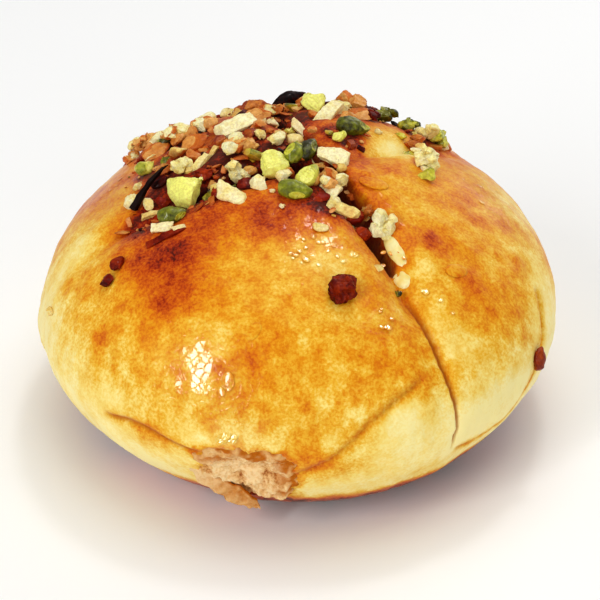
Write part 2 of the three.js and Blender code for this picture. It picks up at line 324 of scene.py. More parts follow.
def vary(tree, base, pattern, amount):
    # adds a noise of about 0 to 1 to a value, by an amount to either side
    around = reckon(tree, "SUBTRACT", pattern, 0.5)
    return reckon(tree, "ADD", base, reckon(tree, "MULTIPLY", around, amount))


def bump(tree, height, distance, strength=1.0):
    node = tree.nodes.new("ShaderNodeBump")
    node.inputs["Strength"].default_value = strength
    node.inputs["Distance"].default_value = distance * mm
    tree.links.new(height, node.inputs["Height"])
    return node.outputs["Normal"]


def stain(tree, colour, label, share, shade, mode="MIX"):
    # lays a shade over a colour where the mesh is painted with that label
    painted = reckon(tree, "MULTIPLY", attribute(tree, label), share)
    return blendColours(tree, painted, colour, shade, mode)


def newGroup(name, inputs, outputs):
    group = bpy.data.node_groups.new(name, "ShaderNodeTree")
    for label, kind, value in inputs:
        socket = group.interface.new_socket(label, in_out="INPUT", socket_type=kind)
        if value is not None:
            socket.default_value = value
    for label, kind in outputs:
        group.interface.new_socket(label, in_out="OUTPUT", socket_type=kind)
    start = group.nodes.new("NodeGroupInput")
    end = group.nodes.new("NodeGroupOutput")
    return group, start.outputs, end.inputs


def useGroup(tree, group, **values):
    node = tree.nodes.new("ShaderNodeGroup")
    node.node_tree = group
    for label, value in values.items():
        joinUp(tree, value, node.inputs[label])
    return node.outputs


grainLook = {"fine": (1.0, 4.0, 0.6), "coarse": (2.7, 2.0, 0.5), "shares": (0.6, 1.0), "mask": (0.35, 0.68)}


def makeCrumbGrain():
    # fine grain of baked things: a height for bump and a mask for colour
    group, take, give = newGroup(
        "crumbGrain",
        [("Place", "NodeSocketVector", None), ("Size", "NodeSocketFloat", 1.0)],
        [("Height", "NodeSocketFloat"), ("Mask", "NodeSocketFloat")])
    spread = group.nodes.new("ShaderNodeVectorMath")
    spread.operation = "DIVIDE"
    joined = group.nodes.new("ShaderNodeCombineXYZ")
    for axis in range(3):
        group.links.new(take["Size"], joined.inputs[axis])
    group.links.new(take["Place"], spread.inputs[0])
    group.links.new(joined.outputs[0], spread.inputs[1])
    fine = cloud(group, spread.outputs[0], *grainLook["fine"])
    coarse = cloud(group, spread.outputs[0], *grainLook["coarse"])
    group.links.new(weighted(group, fine, coarse, *grainLook["shares"]), give["Height"])
    group.links.new(rescale(group, fine, *grainLook["mask"]), give["Mask"])
    return group


crumbGrain = makeCrumbGrain()


# the loaf's skin: a dome over a tucked-in foot, with the cross pressed into it

loaf = {
    "radius": 53.2, "height": 55, "widest": 23, "baseRadius": 35.5, "domePower": 1.98, "underPower": 1.5,
    "crownAt": (2, 20), "crownHeight": 3, "crownSpread": 31, "crownFade": 0.6,
    "swell": 0.35, "swellLength": 19, "swellFoot": 8, "swellPhases": (1.1, -0.4, 2.3), "swellPace": 1.7,
    "cross": (5.5, -3), "crossShare": 0.35, "crossReach": 0.22,
    "shoulderPower": 2.2, "rounding": 3.0, "roundFrom": (0.42, 0.66), "sideReaches": (0.05, 1.95, 1901),
}
cuts = [  # azimuth of the rim point that an arm heads for, depth and width of its shoulders, where it fades
    {"azimuth": -58, "depth": 4.2, "shoulder": 8, "fade": (0.3, 1.35)},
    {"azimuth": 36, "depth": 2.6, "shoulder": 8, "fade": (0.3, 0.8)},
    {"azimuth": 110, "depth": 2.6, "shoulder": 8, "fade": (0.35, 0.95)},
    {"azimuth": 196, "depth": 2.6, "shoulder": 8, "fade": (0.4, 0.85)},
]


def plainSkin(reach, azimuth):
    # reach is 0 at the cross, 1 at the widest ring, 2 at the edge of the base and 3 at its middle
    radius, widest, foot = loaf["radius"], loaf["widest"], loaf["baseRadius"]
    dome = loaf["height"] - widest
    spoke = np.stack([np.cos(azimuth), np.sin(azimuth)], -1)
    ring = np.sin(np.clip(reach, 0, 1) * np.pi / 2)
    plan = np.array(loaf["cross"]) * (1 - ring)[:, None] + spoke * (ring * radius)[:, None]
    length = np.linalg.norm(plan, axis=1)
    share = np.clip(length / radius, 0, 1)
    power = loaf["domePower"]
    rise = (1 - share ** power) ** (1 / power)
    outward = plan / np.maximum(length, 1e-9)[:, None] * (share ** (power - 1) / radius)[:, None]
    point = np.column_stack([plan, widest + dome * rise])
    normal = np.column_stack([outward, rise ** (power - 1) / dome])
    turn = np.clip(reach - 1, 0, 1) * np.pi / 2
    power = loaf["underPower"]
    flare = np.maximum(np.cos(turn), 0) ** (2 / power)
    sink = np.sin(turn) ** (2 / power)
    edge = lerp(foot, radius, flare) * np.clip(3 - reach, 0, 1)
    outward = spoke * (flare ** (power - 1) / (radius - foot))[:, None]
    lower = np.column_stack([spoke * edge[:, None], widest * (1 - sink)])
    lowerNormal = np.column_stack([outward, -sink ** (power - 1) / widest])
    below = (reach > 1)[:, None]
    point = np.where(below, lower, point)
    normal = np.where(below, lowerNormal, normal)
    normal /= np.linalg.norm(normal, axis=1)[:, None]
    return point, normal, np.where(reach > 1, edge, ring * radius)


def acrossCut(cut, azimuth, spokeRadius):
    # signed distance from an arm's line
    apart = (azimuth - math.radians(cut["azimuth"]) + np.pi) % (2 * np.pi) - np.pi
    return 2 * np.sin(apart / 2) * spokeRadius


def bakedSkin(reach, azimuth):
    point, normal, spokeRadius = plainSkin(reach, azimuth)
    leaving = lerp(loaf["crossShare"], 1, smoothStep(reach, 0, loaf["crossReach"]))
    valley = np.zeros(len(reach))
    rounding = loaf["rounding"] * smoothStep(reach, *loaf["roundFrom"])
    for cut in cuts:
        across = np.hypot(acrossCut(cut, azimuth, spokeRadius), rounding)
        shoulder = np.maximum(0, 1 - across / cut["shoulder"]) ** loaf["shoulderPower"]
        pressed = cut["depth"] * shoulder * leaving * (1 - smoothStep(reach, *cut["fade"]))
        valley = np.maximum(valley, pressed)
    x, y, z = point.T / loaf["swellLength"]
    first, second, third = loaf["swellPhases"]
    waves = np.sin(x + first) * np.cos(y + second) + np.sin((z - x) * loaf["swellPace"] + third)
    fromCrown = np.linalg.norm(point[:, :2] - np.array(loaf["crownAt"]), axis=1) / loaf["crownSpread"]
    crown = loaf["crownHeight"] * np.exp(-fromCrown ** 2) * (1 - smoothStep(reach, loaf["crownFade"], 1))
    lift = crown + (loaf["swell"] * waves - valley) * smoothStep(point[:, 2], 0, loaf["swellFoot"])
    return point + normal * lift[:, None], normal, spokeRadius


def armDirection(cut):
    turn = math.radians(cut["azimuth"])
    rim = Vector((math.cos(turn), math.sin(turn))) * loaf["radius"]
    return (rim - Vector(loaf["cross"])).normalized()


def skinOver(plan):
    # skin and normal over plan points of the dome, by the spokes that pass over them
    cross = np.array(loaf["cross"])
    fromCross = plan - cross
    inside = cross @ cross - loaf["radius"] ** 2
    along = fromCross @ cross
    ring = (-along - np.sqrt(along * along - inside * (fromCross ** 2).sum(1))) / inside
    rim = fromCross + np.outer(ring, cross)
    reach = np.arcsin(np.clip(ring, 0, 1)) / (np.pi / 2)
    point, normal, _ = bakedSkin(reach, np.arctan2(rim[:, 1], rim[:, 0]))
    return point, normal


def seatOver(x, y):
    point, normal = skinOver(np.array([[x, y]]))
    return Vector(point[0]), Vector(normal[0])


def seatAtSide(degrees, height):
    # the skin at a height on the side, found on a fine row of reaches
    reach = np.linspace(*loaf["sideReaches"])
    azimuth = np.full(len(reach), math.radians(degrees))
    point, _, _ = plainSkin(reach, azimuth)
    nearest = int(np.argmin(np.abs(point[:, 2] - height)))
    point, normal, _ = bakedSkin(reach[nearest:nearest + 1], azimuth[:1])
    return Vector(point[0]), Vector(normal[0])


def finishPiece(name, mesh, material, node, sharpAngle=None):
    for face in mesh.polygons:
        face.use_smooth = True
    if sharpAngle:
        mesh.set_sharp_from_angle(angle=math.radians(sharpAngle))
    mesh.materials.append(material)
    piece = addObject(name, mesh)
    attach(piece, "root")
    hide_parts(node)
    print(name, "made:", len(mesh.polygons), "faces")
    return piece


# the tear at the foot of the front, shared by the crust's hollow, the crumb in it and the lip under it
tear = {  # ragged is the size of the bites in its edge, and how deep they go
    "azimuth": -101, "height": 15.2, "across": 9.0, "up": 8.3, "corner": 3.6, "deep": 2.9, "under": 1.5,
    "ragged": (2.6, 0.15), "rim": (0.86, 1.0), "near": (2.5, -12), "far": 9.0,
}


def tearFrame():
    point, normal = seatAtSide(tear["azimuth"], tear["height"])
    sideways = Vector((0, 0, 1)).cross(normal).normalized()
    along = normal.cross(sideways)
    return np.array(point), np.array(sideways), np.array(along), np.array(normal)


def tearSpread(points):
    # 0 in the middle of the tear, 1 at its ragged edge
    middle, sideways, along, normal = tearFrame()
    local = points - middle
    corner = tear["corner"]
    aside = np.abs(local @ sideways / tear["across"])
    away = np.abs(local @ along / tear["up"])
    away = (aside ** corner + away ** corner) ** (1 / corner)
    widest, deepest = tear["near"]
    near = (away < widest) & (local @ normal > deepest)
    size, share = tear["ragged"]
    spread = np.full(len(points), tear["far"])
    spread[near] = away[near] + share * noiseAt(points[near], size, 3)
    return spread


# where the nuts lie thick: plan circles, shared by the darkening of the crust under the nuts (browning and
# painted shade) and the chopped bits
pile = (
    (-22, -4, 10), (-14, -1, 9), (-6, 2, 8), (1, -5, 7), (7, -12, 6), (-12, 10, 6), (-6, 24, 7),
    (4, 28, 8), (14, 26, 7), (26, 24, 6), (9, 9, 5), (12.5, -15.5, 3), (-29, 6, 6), (-29, -10, 6),
    (-14, 33, 6), (9, 38, 8), (27, 28, 5), (25, 5, 3), (-24, 16, 8), (-30, 20, 6), (-1, 17, 6),
)


# the crust: one closed skin with its slits, tucks, wrinkles and browning

crust = {
    "sectors": (150, 90, 110, 210), "gather": 0.6, "domeRings": 104, "underRings": 54, "baseRings": 10,
    "slits": (  # for each arm: distance from the cross, offset from the arm's line and half width there
        ((-4, -0.6, 2.4), (4, -0.8, 2.9), (11, -0.6, 3.1), (17, 0.1, 2.5), (21, 0.5, 2.0), (24, 0.8, 1.1),
         (26.5, 0.8, 0)),
        ((-3, 0, 0.9), (3, 0, 0.8), (6, 0, 0)),
        ((-3, 0, 1.2), (16, 0, 1.4), (34, 0, 0)),
        ((-3, 0, 1.4), (20, 0, 1.8), (36, 0, 0)),
    ),
    "slitDepth": 8, "slitWall": (0.7, 1.2), "slitStart": (0.05, 0.9), "slitRagged": 0.25, "raggedSize": 1.7,
    "crease": {"reach": (0.44, 0.50, 0.70, 0.92), "half": 1.2, "depth": 0.45},
    "crack": {
        "reach": (0.45, 0.54, 1.12, 1.25), "half": 0.62, "core": 0.08, "taper": (1.3, 0.6), "depth": 0.8,
        "wobble": 0.3, "pace": 15, "ragged": 0.25, "drift": 1.7, "driftReach": (0.40, 0.86),
    },
    # lumps as size and height, and wrinkles as size, height and how much they are drawn out upward
    "lumps": ((15, 0.35), (6, 0.16), (2.2, 0.06)), "wrinkles": (2.6, 0.14, 0.2), "lumpFoot": (0.2, 6),
    "tuckLines": (  # stations as azimuth and height, roll of the dough above, depth of the groove under it, its half width, darkness of the painted shade in the groove, and browning along it that is partly painted shade of the fold
        # its half width, darkness and browning
        (((-134, 23.1), (-130, 23.3), (-125.7, 24.5), (-120.7, 24), (-116.4, 22.5), (-112, 21.8),
          (-108, 21.4)), 0.2, 0.5, 0.95, 1.0, 0.22),
        (((-61, 35.5), (-64.5, 33.6), (-68.3, 32.6), (-75.3, 29.2), (-81.6, 23.6), (-87.6, 19.2),
          (-93, 16.6)), 0.35, 0.35, 1.5, 0.3, 0.22),
        (((-18.6, 36), (-20.6, 33.6), (-22.4, 31), (-24.2, 28.4), (-26.8, 26.4)), 0.5, 0.9, 1.5, 0.6, 0.36),
        (((-27.5, 25.6), (-31.4, 23.2), (-34, 21.2), (-38, 19), (-42, 17.2), (-46.3, 16.2), (-51.5, 16.2),
          (-56, 17.4)), 0.3, 0.7, 1.2, 1.0, 0.6),
        (((18, 17), (30, 20.5), (44, 21.5), (58, 19)), 0.6, 1.0, 0.8, 0.8, 0.25),
        (((92, 24), (104, 21), (117, 17.5), (128, 16)), 0.6, 1.0, 0.8, 0.8, 0.25),
        (((158, 17), (172, 21), (187, 22), (199, 19.5)), 0.6, 1.0, 0.8, 0.8, 0.25),
    ),
    "tuckRoll": 7.0, "tuckShelf": 0.5, "tuckBrown": 1.7, "tuckNear": 42, "tuckEnds": (0, 0.14, 0.86, 1),
    "tuckCore": 0.1, "lineSteps": 60, "lineRounds": 12, "sideSlope": (0.6, 0.97),
}
browning = {
    "height": (  # how brown the crust is at each height
        (0, 0.97), (6.4, 0.93), (8.0, 0.62), (9.4, 0.20), (10.6, 0.07), (18, 0.10), (24, 0.20), (28, 0.34),
        (33, 0.47), (38, 0.52), (43, 0.54), (47, 0.62), (51, 0.70), (60, 0.72),
    ),
    "sides": (  # azimuth, how wide, how much paler or browner the whole side is
        (-40, 26, -0.16), (-135, 24, -0.06), (150, 40, -0.05),
    ),
    "foot": (  # azimuth, how much higher the brown foot reaches there
        (-180, 0), (-75, 0), (-50, 1.5), (-37, 3.5), (-28, 4.5), (-15, 3.5), (0, 1.5), (40, 0), (180, 0),
    ),
    "patches": (  # place, radius, how much browner
        # left; the paler patches at (-48, -13, 34) and (-42, -8, 42) are painted sheen at the limb
        ((-30, -21, 46), 11, 0.08), ((-18, -19, 50), 9, 0.08), ((-29, -29, 43.5), 8, 0.08),
        ((-21.5, -32, 45), 6, 0.12), ((-27, -35, 41), 4, 0.12), ((-48, -13, 34), 12, -0.34),
        ((-37, -33, 33), 10, -0.11), ((-45, -18, 36), 4, 0.14), ((-43, 12, 40), 7, 0.20),
        ((-35, -9, 45), 5, 0.06), ((-28, -46, 22), 5, 0.16), ((-28, -24, 47), 5, 0.10),
        ((-42, -8, 42), 7, -0.26), ((-36, 0, 47), 5, -0.12), ((-24, -40, 38), 5, -0.16),
        ((-34, -26, 42), 4, -0.14), ((-37, -33, 36), 2.2, 0.26), ((-34, -34, 38), 2, 0.1),
        ((-22, -23, 49), 4, 0.12), ((-33, -42, 26), 5, -0.10), ((-21, -48, 30), 5, -0.10),
        ((-14, -36, 45), 6, -0.10),
        # front; the paler patch at (-9, -46, 35) is painted sheen round the highlight
        ((5, -38, 45), 9, -0.16), ((-10, -36, 46), 8, -0.02), ((3, -47, 36), 8, -0.10),
        ((-14.6, -44.7, 37.1), 1.2, 0.16), ((8, -28, 50), 7, -0.34), ((-4, -29, 50), 8, -0.28),
        ((-14, -28, 49.5), 6, -0.16), ((-16, -41, 41), 5, -0.18), ((11, -47, 36), 3.5, 0.12),
        ((17.5, -48, 30), 5, -0.30), ((6, -52, 26), 3.5, -0.12), ((3, -52, 20), 5, 0.34),
        ((9, -51, 20), 4, 0.12), ((1, -52, 26), 3, 0.10), ((-19, -46, 14), 6, 0.10),
        ((-27, -35, 6), 9, -0.22), ((4.2, -15.3, 54.3), 4, 0.36), ((-5, -22, 53), 4, 0.14),
        ((-8, -45, 39), 2.4, 0.28), ((-13, -45, 38), 1.8, 0.16), ((11, -33, 47), 3, 0.14),
        ((6, -47, 36), 4, -0.14), ((17, -46, 35), 3, 0.12), ((20, -30, 44.5), 5, -0.10),
        ((-14, -42, 7), 6, -0.20), ((-18, -48, 22), 6, -0.06), ((4, -50, 15), 6, -0.06),
        ((-9, -46, 35), 4, -0.06),
        # right; the paler patch at (49, -12, 34) is painted sheen at the limb
        ((25, -20, 49.5), 6, 0.20), ((16, -3, 55), 6, -0.16), ((24, -9, 52), 8, -0.21),
        ((33, 4, 48), 9, -0.18), ((17.5, 10.0, 53.3), 6, -0.46), ((22, 14.5, 51.6), 6.5, -0.36),
        ((43, 8, 42), 8, -0.14), ((33, -13, 48), 8, -0.12), ((36, -24, 39), 7, 0.22),
        ((24, -25, 47), 4, -0.34), ((28, -37, 37), 5, -0.26), ((33, -40, 22), 9, -0.14),
        ((26, -43, 33), 5, -0.12), ((22, -40, 38), 3, 0.12), ((18, -42, 39), 3, -0.10),
        ((41, -33, 22), 6, -0.12), ((49, -12, 34), 11, -0.30), ((23, -44, 12), 5, 0.10),
        ((44, 10, 41), 6, -0.20), ((33, -3, 49), 2.4, 0.26), ((36, -8, 47), 2.2, 0.14),
        ((41, -6, 44), 2.4, 0.26), ((44, -14, 40), 2.6, 0.26), ((25, -19, 49), 3, 0.14),
        ((33, -25, 43), 2.6, 0.16), ((44, -27, 32), 2.4, 0.16), ((24, -43, 33), 2.6, 0.2),
        ((34, -36, 35), 4, -0.08), ((47, -21, 32), 5, -0.12), ((25, -33, 41), 3.5, -0.24),
        ((22, -47, 27), 6, -0.10), ((21.5, 8, 51.5), 5.5, -0.28),
    ),
    # pile is how much darker the crust is under the nuts: browning and painted shade
    "footFade": (15, 27), "sideFrom": (14, 26), "pile": 0.30, "pileEdge": (0.5, 1.1), "pileFrom": 30,
    # crease is how much browner the crust is along the front crease: painted shade in it
    "rim": 0.10, "rimWidth": (1.5, 9), "crease": 0.20, "tear": 0.34, "tearAt": 1.04, "tearWidth": 0.10,
}
glaze = {  # where the egg wash lies thick and shines
    "thin": 0.09, "levels": 0.75,
    "patches": (
        ((-17.9, -44.1, 36.4), 7, 1.0), ((-13, -48, 33), 4, 0.8), ((-12.4, -51, 25.7), 3.5, 0.9),
        ((4, -26.5, 51), 6, 0.4), ((16, -37.5, 42.5), 4, 0.6), ((28, -37, 37.5), 2.5, 0.8),
        ((-38, 4, 46), 12, 0.5), ((41, 4, 44), 10, 0.5), ((-10, -52, 26), 5, 0.9), ((0, 44, 38), 10, 0.7),
        ((-40, 24, 34), 9, 0.6), ((38, 28, 34), 9, 0.6),
    ),
}


def gatheredAzimuth(index):
    # meridians crowd together at the arms, so that the slits keep crisp edges
    sectors = np.array(crust["sectors"])
    starts = np.concatenate([[0], np.cumsum(sectors)])
    sector = np.searchsorted(starts, index, side="right") - 1
    share = (index - starts[sector]) / sectors[sector]
    share = share - crust["gather"] * np.sin(2 * np.pi * share) / (2 * np.pi)
    corners = np.array([cut["azimuth"] for cut in cuts] + [cuts[0]["azimuth"] + 360.0])
    return np.radians(lerp(corners[sector], corners[sector + 1], share))


def smoothLine(stations):
    # a flowing line on the skin through stations given as azimuth and height
    corners = np.array([seatAtSide(*station)[0] for station in stations])
    pace = np.concatenate([[0], np.cumsum(np.linalg.norm(np.diff(corners, axis=0), axis=1))])
    dense = np.linspace(0, pace[-1], crust["lineSteps"])
    line = np.column_stack([np.interp(dense, pace, corners[:, axis]) for axis in range(3)])
    for _ in range(crust["lineRounds"]):
        line[1:-1] = (line[:-2] + line[1:-1] * 2 + line[2:]) / 4
    return line


def nearLine(points, line):
    # distance from a line, signed by height over it, and the share of the way along it
    gaps = np.linalg.norm(points[:, None, :] - line[None, :, :], axis=2)
    nearest = gaps.argmin(axis=1)
    above = np.where(points[:, 2] >= line[nearest, 2], 1.0, -1.0)
    return gaps.min(axis=1), above, nearest / (len(line) - 1)


def crustGrid():
    # a grid wrapped round the loaf: its columns are meridians, from the cross to the middle of the base
    rings = crust["domeRings"] + crust["underRings"] + crust["baseRings"]
    meridians = sum(crust["sectors"])
    bm = bmesh.new()
    bmesh.ops.create_grid(bm, x_segments=meridians, y_segments=rings, size=0.5)
    flat = placeOf(bm) + 0.5
    ring = np.rint((1 - flat[:, 1]) * rings)
    column = np.rint(flat[:, 0] * meridians).astype(int)
    seam = np.where((column == 0) | (column == meridians) | (ring == 0) | (ring == rings))[0]
    under = (ring - crust["domeRings"]) / crust["underRings"]
    base = (ring - crust["domeRings"] - crust["underRings"]) / crust["baseRings"]
    reach = np.where(under <= 0, ring / crust["domeRings"], np.where(base <= 0, 1 + under, 2 + base))
    return bm, reach, gatheredAzimuth(column % meridians), seam


def lumpRelief(point):
    size, height, squeeze = crust["wrinkles"]
    lift = layeredNoise(point, crust["lumps"], 2)
    lift += height * noiseAt(point * np.array((1, 1, squeeze)), size, 2)
    return lift * smoothStep(point[:, 2], *crust["lumpFoot"])


def tuckRelief(point):
    # the dough above each tuck rolls out over a groove; the groove is painted darker as shade, and the band
    # along it browner, partly as painted shade
    lift = np.zeros(len(point))
    grooveShade = np.zeros(len(point))
    brown = np.zeros(len(point))
    wide = crust["tuckRoll"]
    for stations, roll, depth, half, dark, browner in crust["tuckLines"]:
        line = smoothLine(stations)
        close = np.where(np.linalg.norm(point - line.mean(0), axis=1) < crust["tuckNear"])[0]
        gap, above, share = nearLine(point[close], line)
        ends = comeAndGo(share, *crust["tuckEnds"])
        cleft = (1 - smoothStep(gap, crust["tuckCore"], half)) * ends
        bulge = np.where(above > 0, 1 - smoothStep(gap, 0, wide), 0) * ends
        shelf = np.where(above < 0, 1 - smoothStep(gap, 0, wide / 2), 0) * ends
        lift[close] += roll * (bulge - crust["tuckShelf"] * shelf) - depth * cleft
        grooveShade[close] = np.maximum(grooveShade[close], cleft * dark)
        browned = browner * np.exp(-(gap / crust["tuckBrown"]) ** 2) * ends
        brown[close] = np.maximum(brown[close], browned)
    return lift, grooveShade, brown


def slitOpening(point, reach, azimuth, spokeRadius, ragged):
    # how far each point is inside an open slit, and how near to one
    slit = np.zeros(len(point))
    rim = np.zeros(len(point))
    along = np.linalg.norm(point[:, :2] - np.array(loaf["cross"]), axis=1)
    inner, outer = crust["slitWall"]
    least, full = crust["slitStart"]
    for cut, stations in zip(cuts, crust["slits"]):
        distances, offsets, halves = zip(*stations)
        across = acrossCut(cut, azimuth, spokeRadius)
        half = np.interp(along, distances, halves) * (1 + crust["slitRagged"] * ragged)
        aside = np.abs(across - np.interp(along, distances, offsets))
        gape = (1 - smoothStep(aside, half * inner, half * outer + least)) * smoothStep(half, least, full)
        slit = np.maximum(slit, gape * (reach <= 1))
        fade = 1 - smoothStep(reach, *cut["fade"])
        rim = np.maximum(rim, (1 - smoothStep(np.abs(across), *browning["rimWidth"])) * fade)
    return slit, rim


def frontCrease(reach, azimuth, spokeRadius, ragged):
    # the soft crease that carries on from the front slit, and the thin crack below it
    crease, crack = crust["crease"], crust["crack"]
    across = acrossCut(cuts[0], azimuth, spokeRadius)
    across = across - crack["drift"] * smoothStep(reach, *crack["driftReach"])
    soft = np.exp(-(across / crease["half"]) ** 2) * comeAndGo(reach, *crease["reach"])
    across = across - crack["wobble"] * np.sin(reach * crack["pace"]) - crack["ragged"] * ragged
    _, full, _, end = crack["reach"]
    half = crack["half"] * lerp(*crack["taper"], smoothStep(reach, full, end))
    thin = (1 - smoothStep(np.abs(across), crack["core"], half)) * comeAndGo(reach, *crack["reach"])
    return soft, thin


def spotted(point, patches):
    total = np.zeros(len(point))
    for spot, radius, amount in patches:
        total += amount * np.exp(-(np.linalg.norm(point - np.array(spot), axis=1) / radius) ** 2)
    return total


def bakedAt(point):
    # browning, from the pale side to the dark crown, over a brown foot, and darker under the nuts as
    # browning and painted shade
    height = point[:, 2]
    turn = np.degrees(np.arctan2(point[:, 1], point[:, 0]))
    higher = np.interp(turn, *zip(*browning["foot"])) * (1 - smoothStep(height, *browning["footFade"]))
    bake = np.interp(height - higher, *zip(*browning["height"]))
    for centre, width, amount in browning["sides"]:
        apart = (turn - centre + 180) % 360 - 180
        bake += amount * np.exp(-(apart / width) ** 2) * smoothStep(height, *browning["sideFrom"])
    under = np.zeros(len(point))
    inner, outer = browning["pileEdge"]
    for x, y, radius in pile:
        away = np.hypot(point[:, 0] - x, point[:, 1] - y)
        covered = 1 - smoothStep(away, radius * inner, radius * outer)
        under = np.maximum(under, covered * (height > browning["pileFrom"]))
    return bake + spotted(point, browning["patches"]) + browning["pile"] * under


def makeCrustMesh():
    bm, reach, azimuth, seam = crustGrid()
    point, normal, spokeRadius = bakedSkin(reach, azimuth)
    ragged = noiseAt(point, crust["raggedSize"], 2)
    lift, grooveShade, brown = tuckRelief(point)
    slit, rim = slitOpening(point, reach, azimuth, spokeRadius, ragged)
    soft, crack = frontCrease(reach, azimuth, spokeRadius, ragged)
    shine = np.clip(glaze["thin"] + spotted(point, glaze["patches"]), 0, 1)
    lift += lumpRelief(point) * (1 - glaze["levels"] * shine) - slit * crust["slitDepth"]
    lift -= crust["crease"]["depth"] * soft + crust["crack"]["depth"] * crack
    spread = tearSpread(point)
    torn = 1 - smoothStep(spread, *tear["rim"])
    lift = lift * (1 - torn) - tear["deep"] * tear["under"] * torn
    moved = point + normal * lift[:, None]
    moved[:, 2] = np.maximum(moved[:, 2], 0)
    # the browning along the tucks is partly painted shade of the folds, and along the front crease it is
    # painted shade
    bake = bakedAt(point) + brown + browning["rim"] * rim + browning["crease"] * soft
    bake += browning["tear"] * np.exp(-((spread - browning["tearAt"]) / browning["tearWidth"]) ** 2)
    side = 1 - smoothStep(np.abs(normal[:, 2]), *crust["sideSlope"])
    # crease and slit are painted shade in the grooves, the crack, the open slits and the hollow behind the
    # tear
    paint(bm, moved, bake=np.clip(bake, 0, 1), crease=np.maximum(grooveShade, crack),
          slit=np.maximum(slit, torn), side=side, shine=shine)
    # close the seam and the two poles
    bm.verts.ensure_lookup_table()
    bmesh.ops.remove_doubles(bm, verts=[bm.verts[number] for number in seam], dist=1e-7)
    bmesh.ops.recalc_face_normals(bm, faces=bm.faces)
    return meshOf("bunCrust", bm)


crustLook = {
    "shades": (
        (0.00, linear(250, 234, 164)), (0.15, linear(244, 214, 116)), (0.30, linear(234, 182, 56)),
        (0.45, linear(225, 150, 18)), (0.60, linear(213, 116, 5)), (0.74, linear(192, 80, 2)),
        (0.88, linear(152, 40, 1)), (1.00, linear(80, 16, 1)),
    ),
    # crease is painted shade in the tuck grooves and the front crack, and slit is painted shade, dark red,
    # in the open slits and the hollow behind the tear
    "crease": (0.85, linear(178, 92, 6)), "slit": (0.92, linear(92, 6, 1)),
    "broadClouds": (9, 3, 0.55, 0.2), "middleClouds": (3.0, 3, 0.6, 0.1), "grainSize": 0.55,
    "streaks": (2.8, 3, 0.6), "streakStretch": (1.0, 1.0, 0.34), "dabRange": (0.38, 0.66),
    "broad": 0.56, "middle": 0.54, "dabs": 0.12, "grain": 0.17, "calm": (0.04, 0.34, 0.4, 1.0),
    "plates": {"drift": 0.7, "scale": 0.62, "gap": 0.09},
    "roughness": (0.3, 0.7, 0.45, 0.6), "patchyShine": (0.3, 0.6, 0.7, 1.0),
    "bump": (0.22, 0.5), "bumpShares": (0.5, 0.4), "plateBump": (0.14, 0.6), "plateShares": (0.35, 0.2),
}


def crackle(tree, place):
    # plates of egg wash with thin lines between them, as a height
    drift = tree.nodes.new("ShaderNodeTexNoise")
    drift.inputs["Scale"].default_value = crustLook["plates"]["drift"]
    tree.links.new(place, drift.inputs["Vector"])
    warped = tree.nodes.new("ShaderNodeVectorMath")
    warped.operation = "ADD"
    tree.links.new(place, warped.inputs[0])
    tree.links.new(drift.outputs["Color"], warped.inputs[1])
    plates = tree.nodes.new("ShaderNodeTexVoronoi")
    plates.feature = "DISTANCE_TO_EDGE"
    plates.inputs["Scale"].default_value = crustLook["plates"]["scale"]
    tree.links.new(warped.outputs[0], plates.inputs["Vector"])
    return rescale(tree, plates.outputs["Distance"], 0.0, crustLook["plates"]["gap"])


def makeCrustFinish():
    material, tree, place = newFinish("bakedCrust")
    broad = cloud(tree, place, *crustLook["broadClouds"])
    middle = cloud(tree, place, *crustLook["middleClouds"])
    streaks = cloud(tree, stretched(tree, place, crustLook["streakStretch"]), *crustLook["streaks"])
    grain = useGroup(tree, crumbGrain, Place=place, Size=crustLook["grainSize"])
    bake = attribute(tree, "bake")
    lively = rescale(tree, bake, *crustLook["calm"])  # pale dough is the smoothest
    dabs = rescale(tree, streaks, *crustLook["dabRange"])  # browner dabs drawn out down the sides
    for label, pattern in (("broad", broad), ("middle", middle), ("grain", grain["Mask"])):
        bake = vary(tree, bake, pattern, reckon(tree, "MULTIPLY", lively, crustLook[label]))
    lively = reckon(tree, "MULTIPLY", lively, attribute(tree, "side"))
    bake = vary(tree, bake, dabs, reckon(tree, "MULTIPLY", lively, crustLook["dabs"]))
    colour = colourRamp(tree, bake, crustLook["shades"])
    # painted shade: darker in the grooves and the crack, dark red in the open slits
    for label in ("crease", "slit"):
        colour = stain(tree, colour, label, *crustLook[label])
    height = weighted(tree, grain["Height"], streaks, *crustLook["bumpShares"])
    plates = weighted(tree, crackle(tree, place), middle, *crustLook["plateShares"])
    patchy = rescale(tree, middle, *crustLook["patchyShine"])
    dress(tree, Base_Color=colour, Roughness=rescale(tree, middle, *crustLook["roughness"]),
          Normal=bump(tree, height, *crustLook["bump"]),
          Coat_Normal=bump(tree, plates, *crustLook["plateBump"]),
          Coat_Weight=reckon(tree, "MULTIPLY", attribute(tree, "shine"), patchy), Coat_Roughness=0.05,
          Coat_IOR=1.6, Specular_IOR_Level=0.10, Sheen_Weight=0.14, Sheen_Roughness=0.5,
          Sheen_Tint=(1.0, 0.90, 0.74, 1.0), Subsurface_Weight=0.05, Subsurface_Radius=(1.0, 0.5, 0.2),
          Subsurface_Scale=0.0012)
    return material


bunCrust = finishPiece("bunCrust", makeCrustMesh(), makeCrustFinish(), "bun")


# torn crumb in the hollow, and the lip under it

